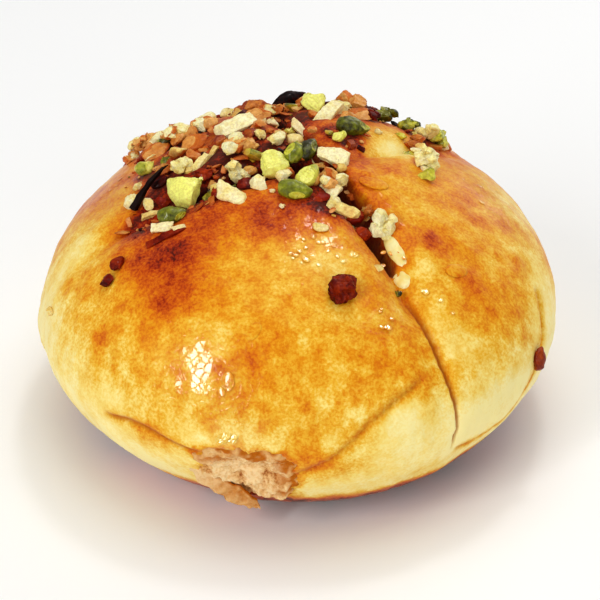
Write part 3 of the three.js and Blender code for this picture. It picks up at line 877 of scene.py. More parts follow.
crumbPatch = {
    "columns": 130, "rows": 110, "over": 1.25, "root": 3.0, "reaches": (0.7, 1.99, 400), "lowest": 0.6,
    "cells": ((3.2, 0.9), (1.3, 0.5), (0.6, 0.22)), "cellShift": 3.7, "rough": 0.75, "offFloor": 0.2,
    "hollow": 0.75, "hollowEdge": (0.1, 1.0), "sink": 2.0, "sinkEdge": (0.98, 1.2),
    # pits: the crumb's tone, and how much darker it is painted in its hollows, as shade
    "pits": (0.32, 0.55), "goldenEdge": (0.7, 1.0),
    "tuft": {  # lipLine is the lip's height at the middle of the tear, and its slant
        "height": 1.7, "low": (-0.1, 0.35), "edge": (0.75, 1.0), "lipLine": (-0.82, -0.6),
        "overLip": (0.02, 0.36),
    },
    "toasted": {
        "share": 0.95, "top": (0.3, 0.75), "right": (0.4, 0.95), "spots": (2.4, 2, 5.1),
        "patchy": (-0.3, 0.2),
    },
}
lip = {
    "stations": (  # azimuth, height, lift off the skin, width, thickness
        (-116, 17.6, -2.6, 2.0, 1.2), (-113.6, 15.4, -1.4, 3.2, 1.4), (-110.8, 13.2, -0.3, 4.0, 1.6),
        (-107.6, 11.6, 0.5, 4.0, 1.6), (-104.4, 10.0, 1.2, 3.7, 1.5), (-101.4, 8.6, 1.8, 3.0, 1.3),
        (-98.6, 7.2, 2.3, 1.0, 0.9),
    ),
    "steps": 90, "round": 40, "lean": 1.2, "blunt": 1.6, "ragged": (1.6, 0.3), "offFloor": 0.15,
    # pits: the lip's tone at its root and its tip, and how much darker it is painted in its hollows, as
    # shade
    "rough": ((1.8, 0.5), (0.7, 0.22)), "pits": (-0.1, 0.3, 0.6), "toTip": (1.4, 3.4), "golden": 0.8,
    "toastedEdge": (0.72, 0.96), "toasted": (0.12, 0.3),
}


def crumbTuft(spread, aside, higher):
    # crumb that stands out of the lower half of the tear, as far down as the lip
    tuft = crumbPatch["tuft"]
    middle, slant = tuft["lipLine"]
    height = tuft["height"] * smoothStep(-higher, *tuft["low"]) * (1 - smoothStep(spread, *tuft["edge"]))
    return height * smoothStep(higher - middle - slant * aside, *tuft["overLip"])


def crumbToast(point, aside, higher):
    # brown patches along the top and the right of the tear
    toasted = crumbPatch["toasted"]
    near = np.maximum(smoothStep(higher, *toasted["top"]), smoothStep(aside, *toasted["right"]))
    return near * toasted["share"] * smoothStep(noiseAt(point, *toasted["spots"]), *toasted["patchy"])


def makeTornCrumb():
    middle, sideways, along, normal = tearFrame()
    bm = bmesh.new()
    bmesh.ops.create_grid(bm, x_segments=crumbPatch["columns"], y_segments=crumbPatch["rows"], size=1)
    flat = placeOf(bm) * crumbPatch["over"]
    local = middle + np.outer(flat[:, 0] * tear["across"], sideways)
    local += np.outer(flat[:, 1] * tear["up"], along)
    # press the grid on to the loaf's own curve, then hollow and roughen it
    reach = np.linspace(*crumbPatch["reaches"])
    profile, _, _ = plainSkin(reach, np.zeros(len(reach)))
    level = np.maximum(local[:, 2], crumbPatch["lowest"])
    found = np.interp(-level, -profile[:, 2], reach)
    point, outward, _ = bakedSkin(found, np.arctan2(local[:, 1], local[:, 0]))
    spread = tearSpread(point)
    aside = (point - middle) @ sideways / tear["across"]
    higher = (point - middle) @ along / tear["up"]
    rough = layeredNoise(point, crumbPatch["cells"], 2, crumbPatch["cellShift"])
    lift = rough * crumbPatch["rough"] + crumbTuft(spread, aside, higher)
    lift -= tear["deep"] * crumbPatch["hollow"] * (1 - smoothStep(spread, *crumbPatch["hollowEdge"]))
    lift -= crumbPatch["sink"] * smoothStep(spread, *crumbPatch["sinkEdge"])
    moved = point + outward * lift[:, None]
    moved[:, 2] = np.maximum(moved[:, 2], crumbPatch["offFloor"])
    # the crumb is painted darker in its hollows, as shade
    level, share = crumbPatch["pits"]
    paint(bm, moved, pit=np.clip(level - rough * share, 0, 1),
          edge=smoothStep(spread, *crumbPatch["goldenEdge"]), scorch=crumbToast(point, aside, higher))
    # the edge goes on into the bun and is capped there
    walls = bmesh.ops.extrude_edge_only(bm, edges=[edge for edge in bm.edges if edge.is_boundary])["geom"]
    bottom = [item for item in walls if isinstance(item, bmesh.types.BMVert)]
    bmesh.ops.translate(bm, verts=bottom, vec=-normal * crumbPatch["root"] * mm)
    bmesh.ops.edgeloop_fill(bm, edges=[edge for edge in bm.edges if edge.is_boundary])
    bmesh.ops.recalc_face_normals(bm, faces=bm.faces)
    return meshOf("tornCrumb", bm)


def makeLip():
    # a ribbon of crust and crumb that runs out from under the tear
    seats = [seatAtSide(azimuth, height) for azimuth, height, *_ in lip["stations"]]
    lifts, widths, thicknesses = np.array([station[2:] for station in lip["stations"]]).T
    middle = np.array([point + normal * lift for (point, normal), lift in zip(seats, lifts)])
    outward = np.array([(normal + frontward * lip["lean"]).normalized() for _, normal in seats])
    bm = bmesh.new()
    bmesh.ops.create_uvsphere(bm, u_segments=lip["round"], v_segments=lip["steps"], radius=1)
    unit = placeOf(bm)
    along = (unit[:, 2] + 1) / 2 * (len(seats) - 1)
    stations = np.arange(len(seats))

    def follow(rows):
        return np.column_stack([np.interp(along, stations, row) for row in rows.T])

    line = follow(middle)
    normal = follow(outward)
    across = np.cross(normal, follow(np.gradient(middle, axis=0)))
    across /= np.linalg.norm(across, axis=1)[:, None]
    fromAxis = np.maximum(np.linalg.norm(unit[:, :2], axis=1), 1e-6)
    section = unit[:, :2] / fromAxis[:, None] * np.minimum(fromAxis * lip["blunt"], 1)[:, None]
    size = follow(np.column_stack([widths, thicknesses])) / 2 * section
    length, share = lip["ragged"]
    size[:, 0] *= 1 + share * noiseAt(line, length, 2)
    point = line + across * size[:, :1] + normal * size[:, 1:]
    rough = layeredNoise(point, lip["rough"], 3)
    point += normal * rough[:, None]
    point[:, 2] = np.maximum(point[:, 2], lip["offFloor"])
    # pale at its root, and browner to its tip and its edges, and painted darker in its hollows as shade
    toTip = smoothStep(along, *lip["toTip"])
    least, inside = lip["toasted"]
    brown = np.maximum(smoothStep(np.abs(section[:, 0]), *lip["toastedEdge"]), inside) * toTip
    root, tip, share = lip["pits"]
    pit = np.clip(lerp(root, tip, toTip) - share * rough, 0, 1)
    paint(bm, point, pit=pit, edge=lip["golden"] * toTip, scorch=np.clip(brown - rough * toTip, least, 1))
    bmesh.ops.recalc_face_normals(bm, faces=bm.faces)
    return meshOf("tornLip", bm)


crumbLook = {
    "shades": (
        (0.0, linear(242, 212, 162)), (0.45, linear(226, 182, 124)), (0.72, linear(196, 138, 82)),
        (1.0, linear(146, 82, 36)),
    ),
    "edge": (0.6, linear(214, 152, 78)), "scorch": (1.0, linear(186, 104, 8)),
    "grainSize": 0.6, "grain": 0.5, "bump": (0.35, 0.9),
}


def makeCrumbFinish():
    material, tree, place = newFinish("breadCrumb")
    grain = useGroup(tree, crumbGrain, Place=place, Size=crumbLook["grainSize"])
    # the ramp darkens where the crumb is painted with shade in its hollows
    shade = vary(tree, attribute(tree, "pit"), grain["Mask"], crumbLook["grain"])
    colour = colourRamp(tree, shade, crumbLook["shades"])
    for label in ("edge", "scorch"):
        colour = stain(tree, colour, label, *crumbLook[label])
    dress(tree, Base_Color=colour, Normal=bump(tree, grain["Height"], *crumbLook["bump"]), Roughness=0.9,
          Specular_IOR_Level=0.12, Subsurface_Weight=0.12, Subsurface_Radius=(1.0, 0.6, 0.35),
          Subsurface_Scale=0.0015)
    return material


tornCrumb = finishPiece("tornCrumb", makeTornCrumb(), makeCrumbFinish(), "bun")
finishPiece("tornLip", makeLip(), tornCrumb.data.materials[0], "bun")


# cream cheese: a soft bead along each slit, with what has welled up on the front arm

cream = {
    "runs": (  # arm, from, to, half width, depth of its top under the shoulders, thickness
        (0, 2, 16, 2.4, 5.4, 5.0), (0, 14, 29, 1.3, 4.4, 5.0),
        (1, 1, 8, 0.9, 2.6, 5.0), (2, 1, 30, 1.3, 2.2, 5.0), (3, 1, 32, 1.6, 2.2, 5.0),
    ),
    "wells": (  # distance along the front arm, across it, half length, half width, height
        (23.2, 2.7, 3.8, 1.2, 0.35), (28.9, 1.3, 1.8, 1.5, 0.6), (25.2, -1.6, 1.1, 0.9, 0.5),
    ),
    "lumps": ((2.4, 0.3), (0.9, 0.12)), "lumpShift": 1.3, "runFineness": 72,
    "wellLumps": 0.8, "wellFineness": 40, "wellRise": 0.45, "wellThick": 2,
}


def onArm(arm, along, across):
    # skin point and normal at places given along and across an arm
    direction = np.array(armDirection(cuts[arm]))
    sideways = np.array((-direction[1], direction[0]))
    return skinOver(np.array(loaf["cross"]) + np.outer(along, direction) + np.outer(across, sideways))


def pourInto(pot, bm):
    scrap = meshOf("scrap", bm)
    pot.from_mesh(scrap)
    bpy.data.meshes.remove(scrap)


def creamBlob(pot, arm, middle, across, halfLength, halfWidth, sunk, thick, fineness, lumpy):
    bm = bmesh.new()
    bmesh.ops.create_uvsphere(bm, u_segments=fineness, v_segments=fineness // 2, radius=1)
    unit = placeOf(bm)
    point, normal = onArm(arm, middle + unit[:, 0] * halfLength, across + unit[:, 1] * halfWidth)
    lift = (unit[:, 2] - 1) * thick / 2 - sunk
    lift += lumpy * layeredNoise(point, cream["lumps"], 2, cream["lumpShift"])
    paint(bm, point + normal * lift[:, None])
    pourInto(pot, bm)


def makeCream():
    pot = bmesh.new()
    for arm, start, end, half, sunk, thick in cream["runs"]:
        creamBlob(pot, arm, (start + end) / 2, 0, (end - start) / 2, half, sunk, thick,
                  cream["runFineness"], 1)
    for along, across, halfLength, halfWidth, height in cream["wells"]:
        creamBlob(pot, 0, along, across, halfLength, halfWidth, -height * cream["wellRise"],
                  height * cream["wellThick"], cream["wellFineness"], cream["wellLumps"])
    return meshOf("creamCheese", pot)


creamLook = {
    "pale": linear(250, 236, 172), "deep": linear(240, 212, 116), "clouds": (3.5, 2),
    "cloudRange": (0.35, 0.7), "roughness": (0.3, 0.7, 0.22, 0.4), "grainSize": 0.7, "bump": (0.2, 0.5),
}


def makeCreamFinish():
    material, tree, place = newFinish("creamCheese")
    grain = useGroup(tree, crumbGrain, Place=place, Size=creamLook["grainSize"])
    soft = cloud(tree, place, *creamLook["clouds"])
    deeper = rescale(tree, soft, *creamLook["cloudRange"])
    colour = blendColours(tree, deeper, creamLook["pale"], creamLook["deep"])
    roughness = rescale(tree, soft, *creamLook["roughness"])
    dress(tree, Base_Color=colour, Normal=bump(tree, grain["Height"], *creamLook["bump"]),
          Roughness=roughness, Specular_IOR_Level=0.5, Subsurface_Weight=0.2,
          Subsurface_Radius=(1.0, 0.8, 0.6), Subsurface_Scale=0.002)
    return material


creamCheese = finishPiece("creamCheese", makeCream(), makeCreamFinish(),
                          "cream_cheese_filling")


# beads of egg wash that catch the light

beads = {
    "clusters": (  # x and y over the loaf, spread, how many, sizes, light that they mirror to the front
        (-13.4, -47.2, 1.3, 5, (1.4, 2.4), "window"), (2.5, -27, 4.0, 14, (0.7, 1.6), "skylight"),
        (8, -25.5, 3.0, 10, (0.7, 1.6), "skylight"), (18, -24.5, 3.0, 5, (0.6, 1.2), "skylight"),
        (16.2, -37.8, 2.2, 6, (0.7, 1.5), "skylight"), (27, -31, 4, 4, (0.7, 1.3), "skylight"),
        (-34, 6, 8, 6, (0.6, 1.4), None), (36, 6, 8, 6, (0.6, 1.4), None), (0, 40, 9, 8, (0.6, 1.6), None),
        (-36, 28, 7, 5, (0.6, 1.4), None), (34, 30, 7, 5, (0.6, 1.4), None),
    ),
    "lowClusters": (  # azimuth and height on the side, the rest alike
        (-104.2, 26.4, 1.8, 8, (1.2, 2.4), "window"),
    ),
    "flat": 0.10, "raised": 0.08, "stretch": (0.8, 1.5), "fineness": 3, "seed": 5,
    "blisters": (  # x, y, length, width, turn
        (14.5, -7.1, 6.0, 3.8, -22), (-8, -41, 4, 2.4, 60), (30, -24, 5, 3, 20),
    ),
    "blisterFlat": 0.7,
}


def seenAt(degrees):
    # the direction at an angle as seen from the front
    turn = math.radians(degrees)
    return Vector((1, 0, 0)) * math.cos(turn) + upward * math.sin(turn)


def seatChip(bm, point, normal, facing, lift, turn, wobble=(0, 0)):
    # seats a small piece made round the origin, with its top along facing and its length as seen at turn
    facing = facing.normalized()
    heading = seenAt(turn)
    heading = (heading - facing * heading.dot(facing)).normalized()
    turned = Matrix((heading, facing.cross(heading), facing)).transposed().to_4x4()
    roll, pitch = wobble
    tip = Matrix.Rotation(math.radians(roll), 4, "X") @ Matrix.Rotation(math.radians(pitch), 4, "Y")
    move = Matrix.Scale(mm, 4) @ Matrix.Translation(point + normal * lift) @ turned @ tip
    bmesh.ops.transform(bm, matrix=move, verts=bm.verts)


def layBead(pot, point, normal, facing, size, lift, turn, shine):
    # a lens with the crust's own finish, as brown as the crust under it
    bm = bmesh.new()
    bmesh.ops.create_icosphere(bm, subdivisions=beads["fineness"], radius=0.5)
    bmesh.ops.scale(bm, verts=bm.verts, vec=size)
    seatChip(bm, point, normal, facing, lift, turn)
    brown = bakedAt(np.array([point]))[0]
    painted = {"bake": brown, "shine": shine, "crease": 0.0, "slit": 0.0, "side": 0.0}
    for label, value in painted.items():
        layer = bm.verts.layers.float.new(label)
        for vert in bm.verts:
            vert[layer] = value
    pourInto(pot, bm)


def makeBeads():
    pot = bmesh.new()
    draw = seededDraws(beads["seed"])
    rows = [(seatOver, row) for row in beads["clusters"]]
    rows += [(seatAtSide, row) for row in beads["lowClusters"]]
    for seat, (first, second, spread, count, sizes, lamp) in rows:
        for _ in range(count):
            point, normal = seat(*drawnInDisc(draw, first, second, spread))
            wide = lerp(*sizes, next(draw) ** 2)
            size = (wide * lerp(*beads["stretch"], next(draw)), wide, wide * beads["flat"])
            facing, lift = normal, 0.0
            if lamp:
                facing = (cameraPlace - point).normalized() + (lampPlace(lamp) - point).normalized()
                lift = wide * beads["raised"]
            layBead(pot, point, normal, facing, size, lift, 360 * next(draw), 1.0)
    for x, y, length, wide, turn in beads["blisters"]:
        point, normal = seatOver(x, y)
        layBead(pot, point, normal, normal, (length, wide, beads["blisterFlat"]), 0, turn, glaze["thin"])
    return meshOf("glazeBeads", pot)


finishPiece("glazeBeads", makeBeads(), bunCrust.data.materials[0], "bun")


# chopped nuts: each kind is one piece, made of chips sliced from whole nuts

nutForms = {  # width and thickness as shares of the length, how often it is sliced and how deep, roughness
    "slab": (0.46, 0.18, 3, (0.44, 0.54), 0.30), "wedge": (0.62, 0.24, 2, (0.42, 0.52), 0.36),
    "chunk": (0.80, 0.60, 8, (0.22, 0.37), 0.34), "flake": (0.66, 0.26, 4, (0.26, 0.40), 0.22),
    "pistachio": (0.84, 0.56, 6, (0.24, 0.38), 0.36), "kernel": (0.58, 0.46, 2, (0.38, 0.46), 0.26),
    "sliver": (0.34, 0.20, 1, (0.40, 0.48), 0.24), "shred": (0.085, 0.07, 0, (0, 0), 0.22),
    "strip": (0.19, 0.07, 0, (0, 0), 0.3), "nugget": (0.92, 0.74, 5, (0.30, 0.42), 0.8),
    "pod": (0.42, 0.36, 0, (0, 0), 0.2),
}
squareChips = ("slab", "wedge", "sliver", "shred", "strip")
bentChips = {"sliver": 0.08, "shred": 0.09, "strip": 0.05}  # how far the ends bend down
tapers = {"wedge": 0.5, "kernel": 0.22, "shred": 0.5, "sliver": 0.15}  # how much narrower one end is
bareChips = ("pistachio",)  # cut all round, with no skin left
perch = {"shred": 1.8}  # how far a chip is held up by the bits under it
podEnds = (0.8, 1.8)  # how much a pod narrows at both ends, and how suddenly
chipCut = {  # edges sharper than crisp, in radians, are bevelled, and finest is the longest edge left
    "corners": (0.74, 1.22), "crumbSlices": 3, "crisp": 0.5, "bevel": 0.03, "rounds": 3, "finest": 0.7,
    "leastShare": 0.1, "roughSize": 1.8, "rough": (0.7, 2.3, 3), "shift": 10,
}
# how a nut that shows sits on the solids: shares of its width and thickness, and the most that it rises
nutSeat = {"tipped": 0.25, "sunk": 0.46, "least": 0.28, "most": 1.0, "wobble": 7, "wash": 0.3, "seed": 31}
crag = {  # a crag is a clump of smaller chunks
    "bits": 7, "share": (0.36, 0.62), "spread": 0.36, "squash": 0.7, "up": 0.23, "upShare": (0.5, 1.2),
    "shades": 0.2, "wobble": 30, "bareEvery": 3,
}
nutRows = (  # kind, chip, x, y, length, angle seen from the front, lean to the front, shade
    # left arm
    ("pistachio", "pistachio", -21.5, -6.9, 8.6, -48, 0.7, -0.3),
    ("almond", "slab", -12.4, -12.2, 7.4, -30, 0.9, 0.2),
    ("almond", "chunk", -7.2, -9.9, 4.0, -25, 0.6, 0.0),
    ("almond", "crag", -11.5, -4.7, 6.2, -60, 0.6, 0.15),
    ("pistachio", "pistachio", -4.5, -4.2, 6.8, 85, 0.6, -0.2),
    ("almond", "chunk", -4.1, 3.4, 4.4, 80, 0.6, 0.2),
    ("almond", "chunk", -7.3, 6.4, 2.6, -30, 0.6, 0.3),
    ("almondSkin", "crag", -11.4, 2.4, 7.0, 10, 0.6, 0.15),
    ("almond", "sliver", -18.7, 0.8, 5.8, 65, 0.8, 0.4),
    ("almond", "sliver", -16.6, 3.6, 3.8, 72, 0.8, 0.75),
    ("almond", "crag", -22.4, 0.4, 5.6, -20, 0.6, 0.5),
    ("pistachio", "chunk", -26.2, 5.4, 3.0, 60, 0.6, 0.7),
    ("toasted", "chunk", -18.0, -3.8, 3.6, 5, 0.6, 0.2),
    ("toasted", "flake", -27.0, -1.6, 3.8, 25, 1.0, 0.6),
    ("toasted", "shred", -28.5, -3.6, 12.0, 63, 0.9, 1.5),
    ("pistachio", "chunk", -30.3, 6.6, 4.2, 35, 0.6, 0.15),
    ("almond", "chunk", -31.3, -0.2, 2.2, 40, 0.6, 0.4),
    ("almond", "chunk", -32.4, -4.6, 3.6, 35, 0.8, 0.1),
    ("almond", "flake", -29.2, -6.6, 3.2, 110, 0.9, 0.15),
    ("almond", "sliver", -29.4, -8.6, 4.0, 10, 0.5, 0.6),
    ("almond", "sliver", -29.1, 13.4, 4.4, 25, 0.6, 0.3),
    ("toasted", "flake", -26.4, -7.0, 3.2, -30, 0.7, 0.15),
    ("pistachio", "kernel", -23.8, -14.0, 5.9, 4, 0.7, 0.7),
    ("almond", "slab", -25.7, -16.2, 4.6, -8, 1.0, 0.05),
    ("almond", "sliver", -22.4, -17.4, 3.0, 20, 0.9, 0.3),
    # the toasted strip is a dark sheet laid where the left slit's opening lies in shade: painted shade
    ("toasted", "strip", -25.0, -18.4, 8.6, 24, 0.2, 0.34),
    ("toasted", "flake", -9.6, -9.2, 4.2, 15, 0.9, 0.5),
    ("pistachio", "chunk", -17.4, -9.0, 2.6, 20, 0.6, 0.8),
    ("almond", "chunk", -2.9, -16.1, 1.2, 0, 0.5, 0.1),
    ("almond", "chunk", -4.8, -12.0, 1.2, 0, 0.5, 0.1),
    ("almondSkin", "crag", -33.2, 22.5, 7.8, 60, 0.3, 0.1),
    ("almondSkin", "crag", -27.4, 21.0, 7.4, 10, 0.3, 0.15),
    ("almondSkin", "crag", -23.4, 16.0, 7.8, 10, 0.4, 0.2),
    ("almondSkin", "flake", -28.6, 14.0, 6.2, 30, 0.5, 0.3),
    ("almondSkin", "crag", -18.4, 17.5, 6.4, 20, 0.4, 0.0),
    ("almondSkin", "flake", -20.6, 9.4, 6.4, 20, 0.6, 0.25),
    ("toasted", "chunk", -32.0, 14.5, 2.6, 30, 0.4, 0.2),
    ("almondSkin", "flake", -15.8, 7.4, 4.4, 40, 0.5, 0.9),
    # back arm and skyline
    ("almondSkin", "crag", -9.4, 28.5, 9.6, 0, 0.3, 0.75),
    ("almond", "chunk", -14.4, 30, 3.4, 70, 0.3, 0.3),
    ("almondSkin", "crag", -4.6, 24, 6.2, 0, 0.3, 0.5),
    ("almondSkin", "flake", -8.2, 19, 6.4, 15, 0.6, 0.15),
    ("almond", "slab", -12.0, 11.4, 9.0, 27, 1.2, 0.1),
    ("toasted", "pod", -1.9, 31, 8.6, 30, 1.6, 0.9),
    ("pistachio", "pistachio", 2.9, 22.5, 6.0, 80, 0.8, 0.0),
    ("almond", "sliver", 6.0, 16.5, 9.0, 62, 1.1, 0.15),
    ("almondSkin", "crag", 10.0, 29, 8.6, 10, 0.3, 0.1),
    ("toasted", "crag", 14.2, 29, 6.0, 0, 0.4, 0.6),
    ("toasted", "flake", 12.9, 25.5, 5.2, -15, 0.8, 0.6),
    ("pistachio", "crag", 17.4, 27.5, 6.4, 20, 0.4, 0.85),
    ("almond", "chunk", 8.2, 22, 4.6, 60, 0.6, 0.3),
    ("toasted", "crag", 14.4, 20.5, 4.6, 20, 0.6, 0.5),
    ("almondSkin", "chunk", 9.8, 17.0, 4.0, 20, 0.7, 0.2),
    ("almondSkin", "flake", 12.7, 20.6, 6.1, -5, 0.6, 0.1),
    ("pistachio", "kernel", 10.6, 10.4, 7.2, 5, 0.4, 0.8),
    ("almond", "chunk", 15.9, 13.6, 1.7, 30, 0.5, 0.1),
    ("pistachio", "chunk", 7.9, 5.8, 3.2, 40, 0.7, -0.1),
    ("almond", "sliver", 0.1, 12.4, 5.0, -55, 0.8, 0.1),
    # the middle and the front arm
    ("almond", "wedge", 6.7, -0.8, 6.6, 166, 0.7, 0.1),
    ("pistachio", "kernel", -0.6, -1.0, 6.2, 75, 0.6, 0.55),
    ("pistachio", "kernel", 1.9, 0.4, 6.2, 70, 0.4, 0.97),
    ("pistachio", "kernel", 1.9, -9.0, 6.5, 60, 0.7, 0.05),
    ("pistachio", "kernel", -0.5, -12.9, 6.8, -12, 0.5, 0.65),
    ("almond", "chunk", -2.6, -8.0, 3.6, 30, 0.8, 0.1),
    ("almondSkin", "crag", 6.4, -8.6, 6.4, -35, 0.5, 0.2),
    ("almond", "wedge", 6.3, -10.6, 4.4, 135, 0.9, 0.1),
    ("almond", "chunk", 8.3, -7.0, 2.8, -30, 0.6, 0.6),
    ("almond", "chunk", 6.7, -15.0, 3.3, 70, 0.6, 0.35),
    ("almond", "slab", 9.0, -16.4, 5.4, -35, 0.6, 0.75),
    ("almond", "flake", 4.2, -21.2, 3.1, 0, 0.4, 0.35),
    ("almond", "crag", 16.4, -17.8, 7.0, 70, 0.7, 0.1),
    ("almondSkin", "crag", 13.1, -14.4, 3.8, 60, 0.6, 0.7),
    ("toasted", "chunk", 11.2, -15.4, 3.4, 20, 0.6, 0.1),
    ("toasted", "chunk", 12.6, -19.6, 3.2, -60, 0.5, 0.2),
    ("toasted", "flake", 4.4, -13.6, 3.6, 10, 0.4, 0.1),
    ("pistachio", "chunk", 19.4, -31.0, 1.5, 40, 0.4, 0.9),
    ("almond", "flake", 15.2, -27.6, 2.3, 20, 0.3, 0.6),
    # right arm
    ("almond", "crag", 25.2, 3.8, 8.2, 85, 0.6, 0.15),
    ("pistachio", "chunk", 24.9, -0.8, 3.6, 5, 0.5, 0.5),
    ("pistachio", "crag", 28.4, 25.0, 6.6, -20, 0.4, 0.35),
    ("pistachio", "crag", 22.4, 25.0, 5.8, 10, 0.4, 0.85),
    ("almond", "crag", 25.8, 23.0, 7.0, 20, 0.5, 0.3),
    ("almondSkin", "chunk", 24.4, 18.5, 3.6, 20, 0.5, 0.5),
    ("almond", "chunk", 30.2, 24, 3.2, 0, 0.4, 0.15),
)
looseRows = (  # on the front, the same
    ("toasted", "nugget", 8.1, -34.2, 5.8, 60, 0.5, 0.42),
    ("toasted", "chunk", -33.9, -20.8, 3.2, 60, 0.3, 0.3),
    ("toasted", "chunk", -36.0, -23.2, 3.2, 10, 0.3, 0.4),
)
sideRows = (  # kind, chip, azimuth, height, length, angle seen from the front, lean, shade
    ("almond", "chunk", -161, 31, 2.4, 0, 0, 0.5),
    ("almondSkin", "kernel", -29.6, 26.4, 4.8, 76, 0, 0.95),
    ("almondSkin", "chunk", 63, 33, 3, 30, 0, 0.4),
    ("toasted", "chunk", 141, 38, 2.8, 70, 0, 0.3),
)
strewn = {
    "count": 32, "spread": 6.5, "lengths": (2, 3.6), "reaches": ((0, 5), (22, 28), (6, 34), (5, 28)),
    "flakes": 0.3, "seed": 20, "kinds": ("almond", "almondSkin", "almond", "toasted", "pistachio"),
}
heaps = {  # chopped bits in the pile: number to a square centimetre, lengths, detail, how high they may lie
    "fillers": (10, (1.4, 4.4), 2, 1.0), "crumbs": (16, (0.6, 1.5), 1, 0.4),
    "clear": 0.42,  # kept free round each nut that shows, as a share of its length
    "smaller": 1.6, "sunk": 0.16, "wobble": 30, "wash": (0.0, 2.2),
    "chips": ("chunk", "chunk", "flake", "slab"),
    "kinds": ("almondSkin", "almond", "almondSkin", "toasted",
              "almondSkin", "almond", "almondSkin", "pistachio"),
}
nutKinds = ("almond", "almondSkin", "pistachio", "toasted")


def sliceChip(bm, skin, draw, depths):
    # cuts one side off, and leaves bare flesh there
    facing = Vector([2 * next(draw) - 1 for _ in range(3)]).normalized()
    everything = bm.verts[:] + bm.edges[:] + bm.faces[:]
    sliced = bmesh.ops.bisect_plane(bm, geom=everything, plane_co=facing * lerp(*depths, next(draw)),
                                    plane_no=facing, clear_outer=True)
    rim = [item for item in sliced["geom_cut"] if isinstance(item, bmesh.types.BMEdge)]
    for face in bmesh.ops.edgeloop_fill(bm, edges=rim)["faces"]:
        face[skin] = 0


def refineChip(bm, longest):
    # softens the crisp edges and makes the mesh fine enough for a rough face
    crisp = [edge for edge in bm.edges
             if len(edge.link_faces) == 2 and edge.calc_face_angle() > chipCut["crisp"]]
    bmesh.ops.bevel(bm, geom=crisp, offset=chipCut["bevel"], offset_type="OFFSET", segments=2, profile=0.5,
                    affect="EDGES", material=-1)
    for _ in range(chipCut["rounds"]):
        bmesh.ops.triangulate(bm, faces=bm.faces)
        longEdges = [edge for edge in bm.edges if edge.calc_length() > longest]
        bmesh.ops.subdivide_edges(bm, edges=longEdges, cuts=1)


def shapeChip(bm, chip, length):
    # bends slivers, narrows one end of others, and points a pod at both
    bend, taper = bentChips.get(chip, 0), tapers.get(chip, 0)
    most, power = podEnds
    for vert in bm.verts:
        along = 2 * vert.co.x / length
        narrow = 1 - (most * abs(along) ** power if chip == "pod" else taper * along)
        vert.co.y *= narrow
        vert.co.z = vert.co.z * narrow - length * bend * along ** 2


def nutChip(chip, length, draw, detail):
    # detail is 3 for the pieces that show one by one, 2 for fillers and 1 for crumbs
    bm = bmesh.new()
    skin = bm.faces.layers.float.new("skin")
    wide, thick, slices, depths, roughness = nutForms[chip]
    if chip in squareChips:
        bmesh.ops.create_cube(bm, size=1)
        for vert in bm.verts:
            vert.co = Vector([value * lerp(*chipCut["corners"], next(draw)) for value in vert.co])
    else:
        bmesh.ops.create_icosphere(bm, subdivisions=detail, radius=0.5)
        for face in bm.faces:
            face[skin] = chip not in bareChips
    for _ in range(slices if detail > 1 else min(slices, chipCut["crumbSlices"])):
        sliceChip(bm, skin, draw, depths)
    bmesh.ops.recalc_face_normals(bm, faces=bm.faces)
    if detail == 3:
        refineChip(bm, max(chipCut["finest"] / length, chipCut["leastShare"]))
    bmesh.ops.triangulate(bm, faces=bm.faces)
    spots = placeOf(bm)
    low, high = spots.min(0), spots.max(0)
    bmesh.ops.translate(bm, verts=bm.verts, vec=-(low + high) / 2)
    bmesh.ops.scale(bm, verts=bm.verts, vec=length * np.array((1, wide, thick)) / (high - low))
    shapeChip(bm, chip, length)
    if detail > 1:
        bm.normal_update()
        shift = Vector((chipCut["shift"] * next(draw), 0, 0))
        for vert in bm.verts:
            rough = noise.fractal(vert.co / chipCut["roughSize"] + shift, *chipCut["rough"])
            vert.co += vert.normal * rough * roughness
    return bm


def layChip(pot, bm, shade, washed, point, normal, lift, turn, lean, wobble):
    # egg wash climbs a little way up every bit, and less up the nuts that show one by one
    tone = bm.verts.layers.float.new("tone")
    wash = bm.verts.layers.float.new("wash")
    for vert in bm.verts:
        vert[tone] = shade
        vert[wash] = washed * (1 - smoothStep(lift + vert.co.z, *heaps["wash"]))
    seatChip(bm, point, normal, normal + frontward * lean, lift, turn, wobble)
    pourInto(pot, bm)


def strewnRows():
    # bits drawn along the arms in turn
    draw = seededDraws(strewn["seed"])
    for number in range(strewn["count"]):
        arm = number % len(cuts)
        direction = armDirection(cuts[arm])
        along = lerp(*strewn["reaches"][arm], next(draw))
        across = strewn["spread"] * (next(draw) + next(draw) - 1)
        x = loaf["cross"][0] + direction.x * along - direction.y * across
        y = loaf["cross"][1] + direction.y * along + direction.x * across
        length = lerp(*strewn["lengths"], next(draw))
        chip = "flake" if next(draw) < strewn["flakes"] else "chunk"
        kind = strewn["kinds"][number % len(strewn["kinds"])]
        yield kind, chip, x, y, length, 360 * next(draw), 0, next(draw)


def layCrag(pots, draw, kind, point, normal, length, turn, lean, shade):
    heading = seenAt(turn)
    across = heading.cross(normal) * crag["squash"]
    every = crag["bareEvery"]
    for number in range(crag["bits"]):
        around = 2 * math.pi * (number + next(draw)) / crag["bits"]
        away = length * crag["spread"] * math.sqrt(next(draw))
        spot = point + heading * away * math.cos(around) + across * away * math.sin(around)
        size = length * lerp(*crag["share"], next(draw))
        lift = length * crag["up"] * lerp(*crag["upShare"], next(draw))
        tone = min(max(shade + crag["shades"] * (2 * next(draw) - 1), 0), 1)
        wobble = drawnTilts(draw, crag["wobble"])
        bare = kind == "almondSkin" and number % every == every - 1
        bm = nutChip("chunk", size, draw, 3)
        layChip(pots["almond" if bare else kind], bm, tone, nutSeat["wash"], spot, normal, lift,
                360 * next(draw), lean, wobble)


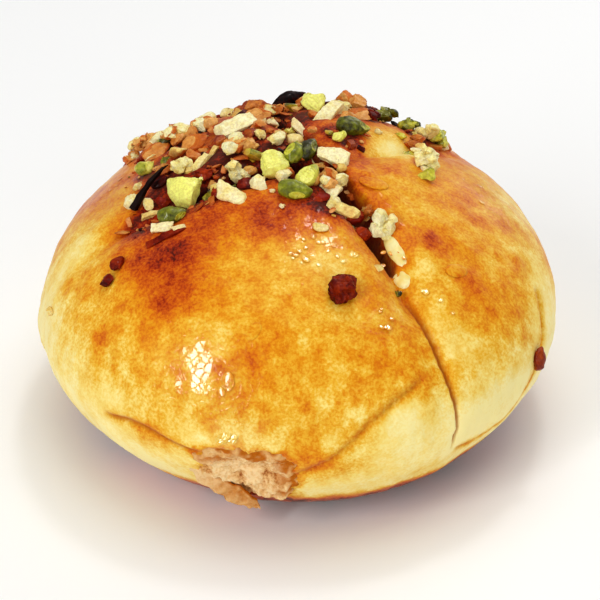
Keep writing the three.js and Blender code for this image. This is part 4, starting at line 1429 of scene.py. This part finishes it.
def layNut(pots, draw, kind, chip, point, normal, length, turn, lean, shade):
    # a nut that shows, or the chunks of a crag
    if chip == "crag":
        layCrag(pots, draw, kind, point, normal, length, turn, lean, shade)
        return
    wide, thick = length * nutForms[chip][0], length * nutForms[chip][1]
    least = thick * nutSeat["least"] + nutSeat["tipped"] * wide * lean / (1 + lean)
    lift = heightOver(solidTree, point, normal) - thick * nutSeat["sunk"]
    lift = min(max(lift, least), least + nutSeat["most"]) + perch.get(chip, 0)
    wobble = drawnTilts(draw, nutSeat["wobble"])
    bm = nutChip(chip, length, draw, 3)
    layChip(pots[kind], bm, shade, nutSeat["wash"], point, normal, lift, turn, lean, wobble)


def crowded(point):
    # whether a nut that shows stands over the place
    return any(math.hypot(point.x - x, point.y - y) < length * heaps["clear"]
               for _, _, x, y, length, *_ in nutRows)


def layHeap(pots, draw, perSquareCentimetre, lengths, detail, highest):
    # chopped bits that lie on the crust and the cream between the larger nuts
    number = 0
    for x, y, radius in pile:
        for _ in range(round(perSquareCentimetre * math.pi * radius ** 2 / 100)):
            point, normal = seatOver(*drawnInDisc(draw, x, y, radius))
            if crowded(point):
                continue
            length = lerp(*lengths, next(draw) ** heaps["smaller"])
            chip = heaps["chips"][int(len(heaps["chips"]) * next(draw))]
            lift = heightOver(restTree, point, normal) + length * nutForms[chip][1] * heaps["sunk"]
            lift += highest * next(draw) ** 2
            wobble = drawnTilts(draw, heaps["wobble"])
            kind = heaps["kinds"][number % len(heaps["kinds"])]
            bm = nutChip(chip, length, draw, detail)
            shade = next(draw)
            layChip(pots[kind], bm, shade, 1, point, normal, lift, 360 * next(draw), 0, wobble)
            number += 1


def makeNutPots():
    pots = {}
    for kind in nutKinds:
        pots[kind] = bmesh.new()
        pots[kind].faces.layers.float.new("skin")
        pots[kind].verts.layers.float.new("tone")
        pots[kind].verts.layers.float.new("wash")
    draw = seededDraws(nutSeat["seed"])
    for kind, chip, x, y, *rest in (*strewnRows(), *nutRows, *looseRows):
        layNut(pots, draw, kind, chip, *seatOver(x, y), *rest)
    for kind, chip, degrees, height, *rest in sideRows:
        layNut(pots, draw, kind, chip, *seatAtSide(degrees, height), *rest)
    layHeap(pots, draw, *heaps["fillers"])
    layHeap(pots, draw, *heaps["crumbs"])
    return pots


nutLooks = {  # shades run from light to dark, and depth is how far light goes in
    "almond": {
        "flesh": (linear(255, 250, 200), linear(250, 236, 152), linear(226, 176, 92)),
        "skin": (linear(252, 240, 172), linear(244, 218, 124), linear(208, 146, 62)),
        "roughness": 0.46, "depth": 0.2, "specular": 0.2, "gloss": 0.12,
    },
    "almondSkin": {
        "flesh": (linear(240, 186, 108), linear(216, 138, 54), linear(172, 82, 20)),
        "skin": (linear(220, 130, 48), linear(188, 90, 20), linear(134, 44, 6)),
        "roughness": 0.44, "depth": 0.1, "specular": 0.2, "gloss": 0.2,
    },
    "pistachio": {
        "flesh": (linear(248, 248, 132), linear(216, 216, 70), linear(112, 110, 14)),
        "skin": (linear(222, 220, 92), linear(138, 146, 26), linear(52, 50, 5)),
        "roughness": 0.42, "depth": 0.14, "specular": 0.25, "gloss": 0.4,
    },
    "toasted": {
        "flesh": (linear(176, 62, 12), linear(110, 18, 3), linear(28, 7, 3)),
        "skin": (linear(150, 36, 6), linear(84, 12, 3), linear(20, 5, 3)),
        "roughness": 0.46, "depth": 0.04, "specular": 0.1, "gloss": 0.15,
    },
}
nutPieces = {
    "almond": ("almondChips", "almond"), "almondSkin": ("brownAlmondChips", "almond_skin"),
    "pistachio": ("pistachioChips", "pistachio"), "toasted": ("toastedBits", "toasted_bits"),
}
nutFinish = {
    "stops": (0.0, 0.5, 1.0), "patches": (2.2, 4), "patchShare": 1.2, "flecks": (0.8, 3), "fleckShare": 0.7,
    "grainSize": 0.5, "specks": (0.3, linear(170, 112, 52)), "wash": (0.7, linear(216, 122, 30)),
    "patchyRoughness": (0.3, 0.7), "smoother": 0.1, "rougher": 0.12, "bump": (0.22, 0.7), "sharpAngle": 48,
}


def makeNutFinish(kind):
    look = nutLooks[kind]
    material, tree, place = newFinish(nutPieces[kind][0])
    grain = useGroup(tree, crumbGrain, Place=place, Size=nutFinish["grainSize"])
    patches = cloud(tree, place, *nutFinish["patches"])
    tone = vary(tree, attribute(tree, "tone"), patches, nutFinish["patchShare"])
    tone = vary(tree, tone, cloud(tree, place, *nutFinish["flecks"]), nutFinish["fleckShare"])
    flesh = colourRamp(tree, tone, tuple(zip(nutFinish["stops"], look["flesh"])))
    skin = colourRamp(tree, tone, tuple(zip(nutFinish["stops"], look["skin"])))
    colour = blendColours(tree, attribute(tree, "skin"), flesh, skin)
    share, shade = nutFinish["specks"]
    colour = blendColours(tree, reckon(tree, "MULTIPLY", grain["Mask"], share), colour, shade, "MULTIPLY")
    colour = stain(tree, colour, "wash", *nutFinish["wash"], "MULTIPLY")
    smoothest = look["roughness"] - nutFinish["smoother"]
    roughest = look["roughness"] + nutFinish["rougher"]
    roughness = rescale(tree, patches, *nutFinish["patchyRoughness"], smoothest, roughest)
    dress(tree, Base_Color=colour, Normal=bump(tree, grain["Height"], *nutFinish["bump"]),
          Roughness=roughness, Specular_IOR_Level=look["specular"], Coat_Weight=look["gloss"],
          Coat_Roughness=0.12, Subsurface_Weight=look["depth"], Subsurface_Radius=(1.0, 0.8, 0.4),
          Subsurface_Scale=0.0015)
    return material


solidTree = treeOf(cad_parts["bun"].data)
restTree = treeOf(bunCrust.data, creamCheese.data)
for kind, pot in makeNutPots().items():
    name, slot = nutPieces[kind]
    finishPiece(name, meshOf(name, pot), makeNutFinish(kind), "bun", nutFinish["sharpAngle"])
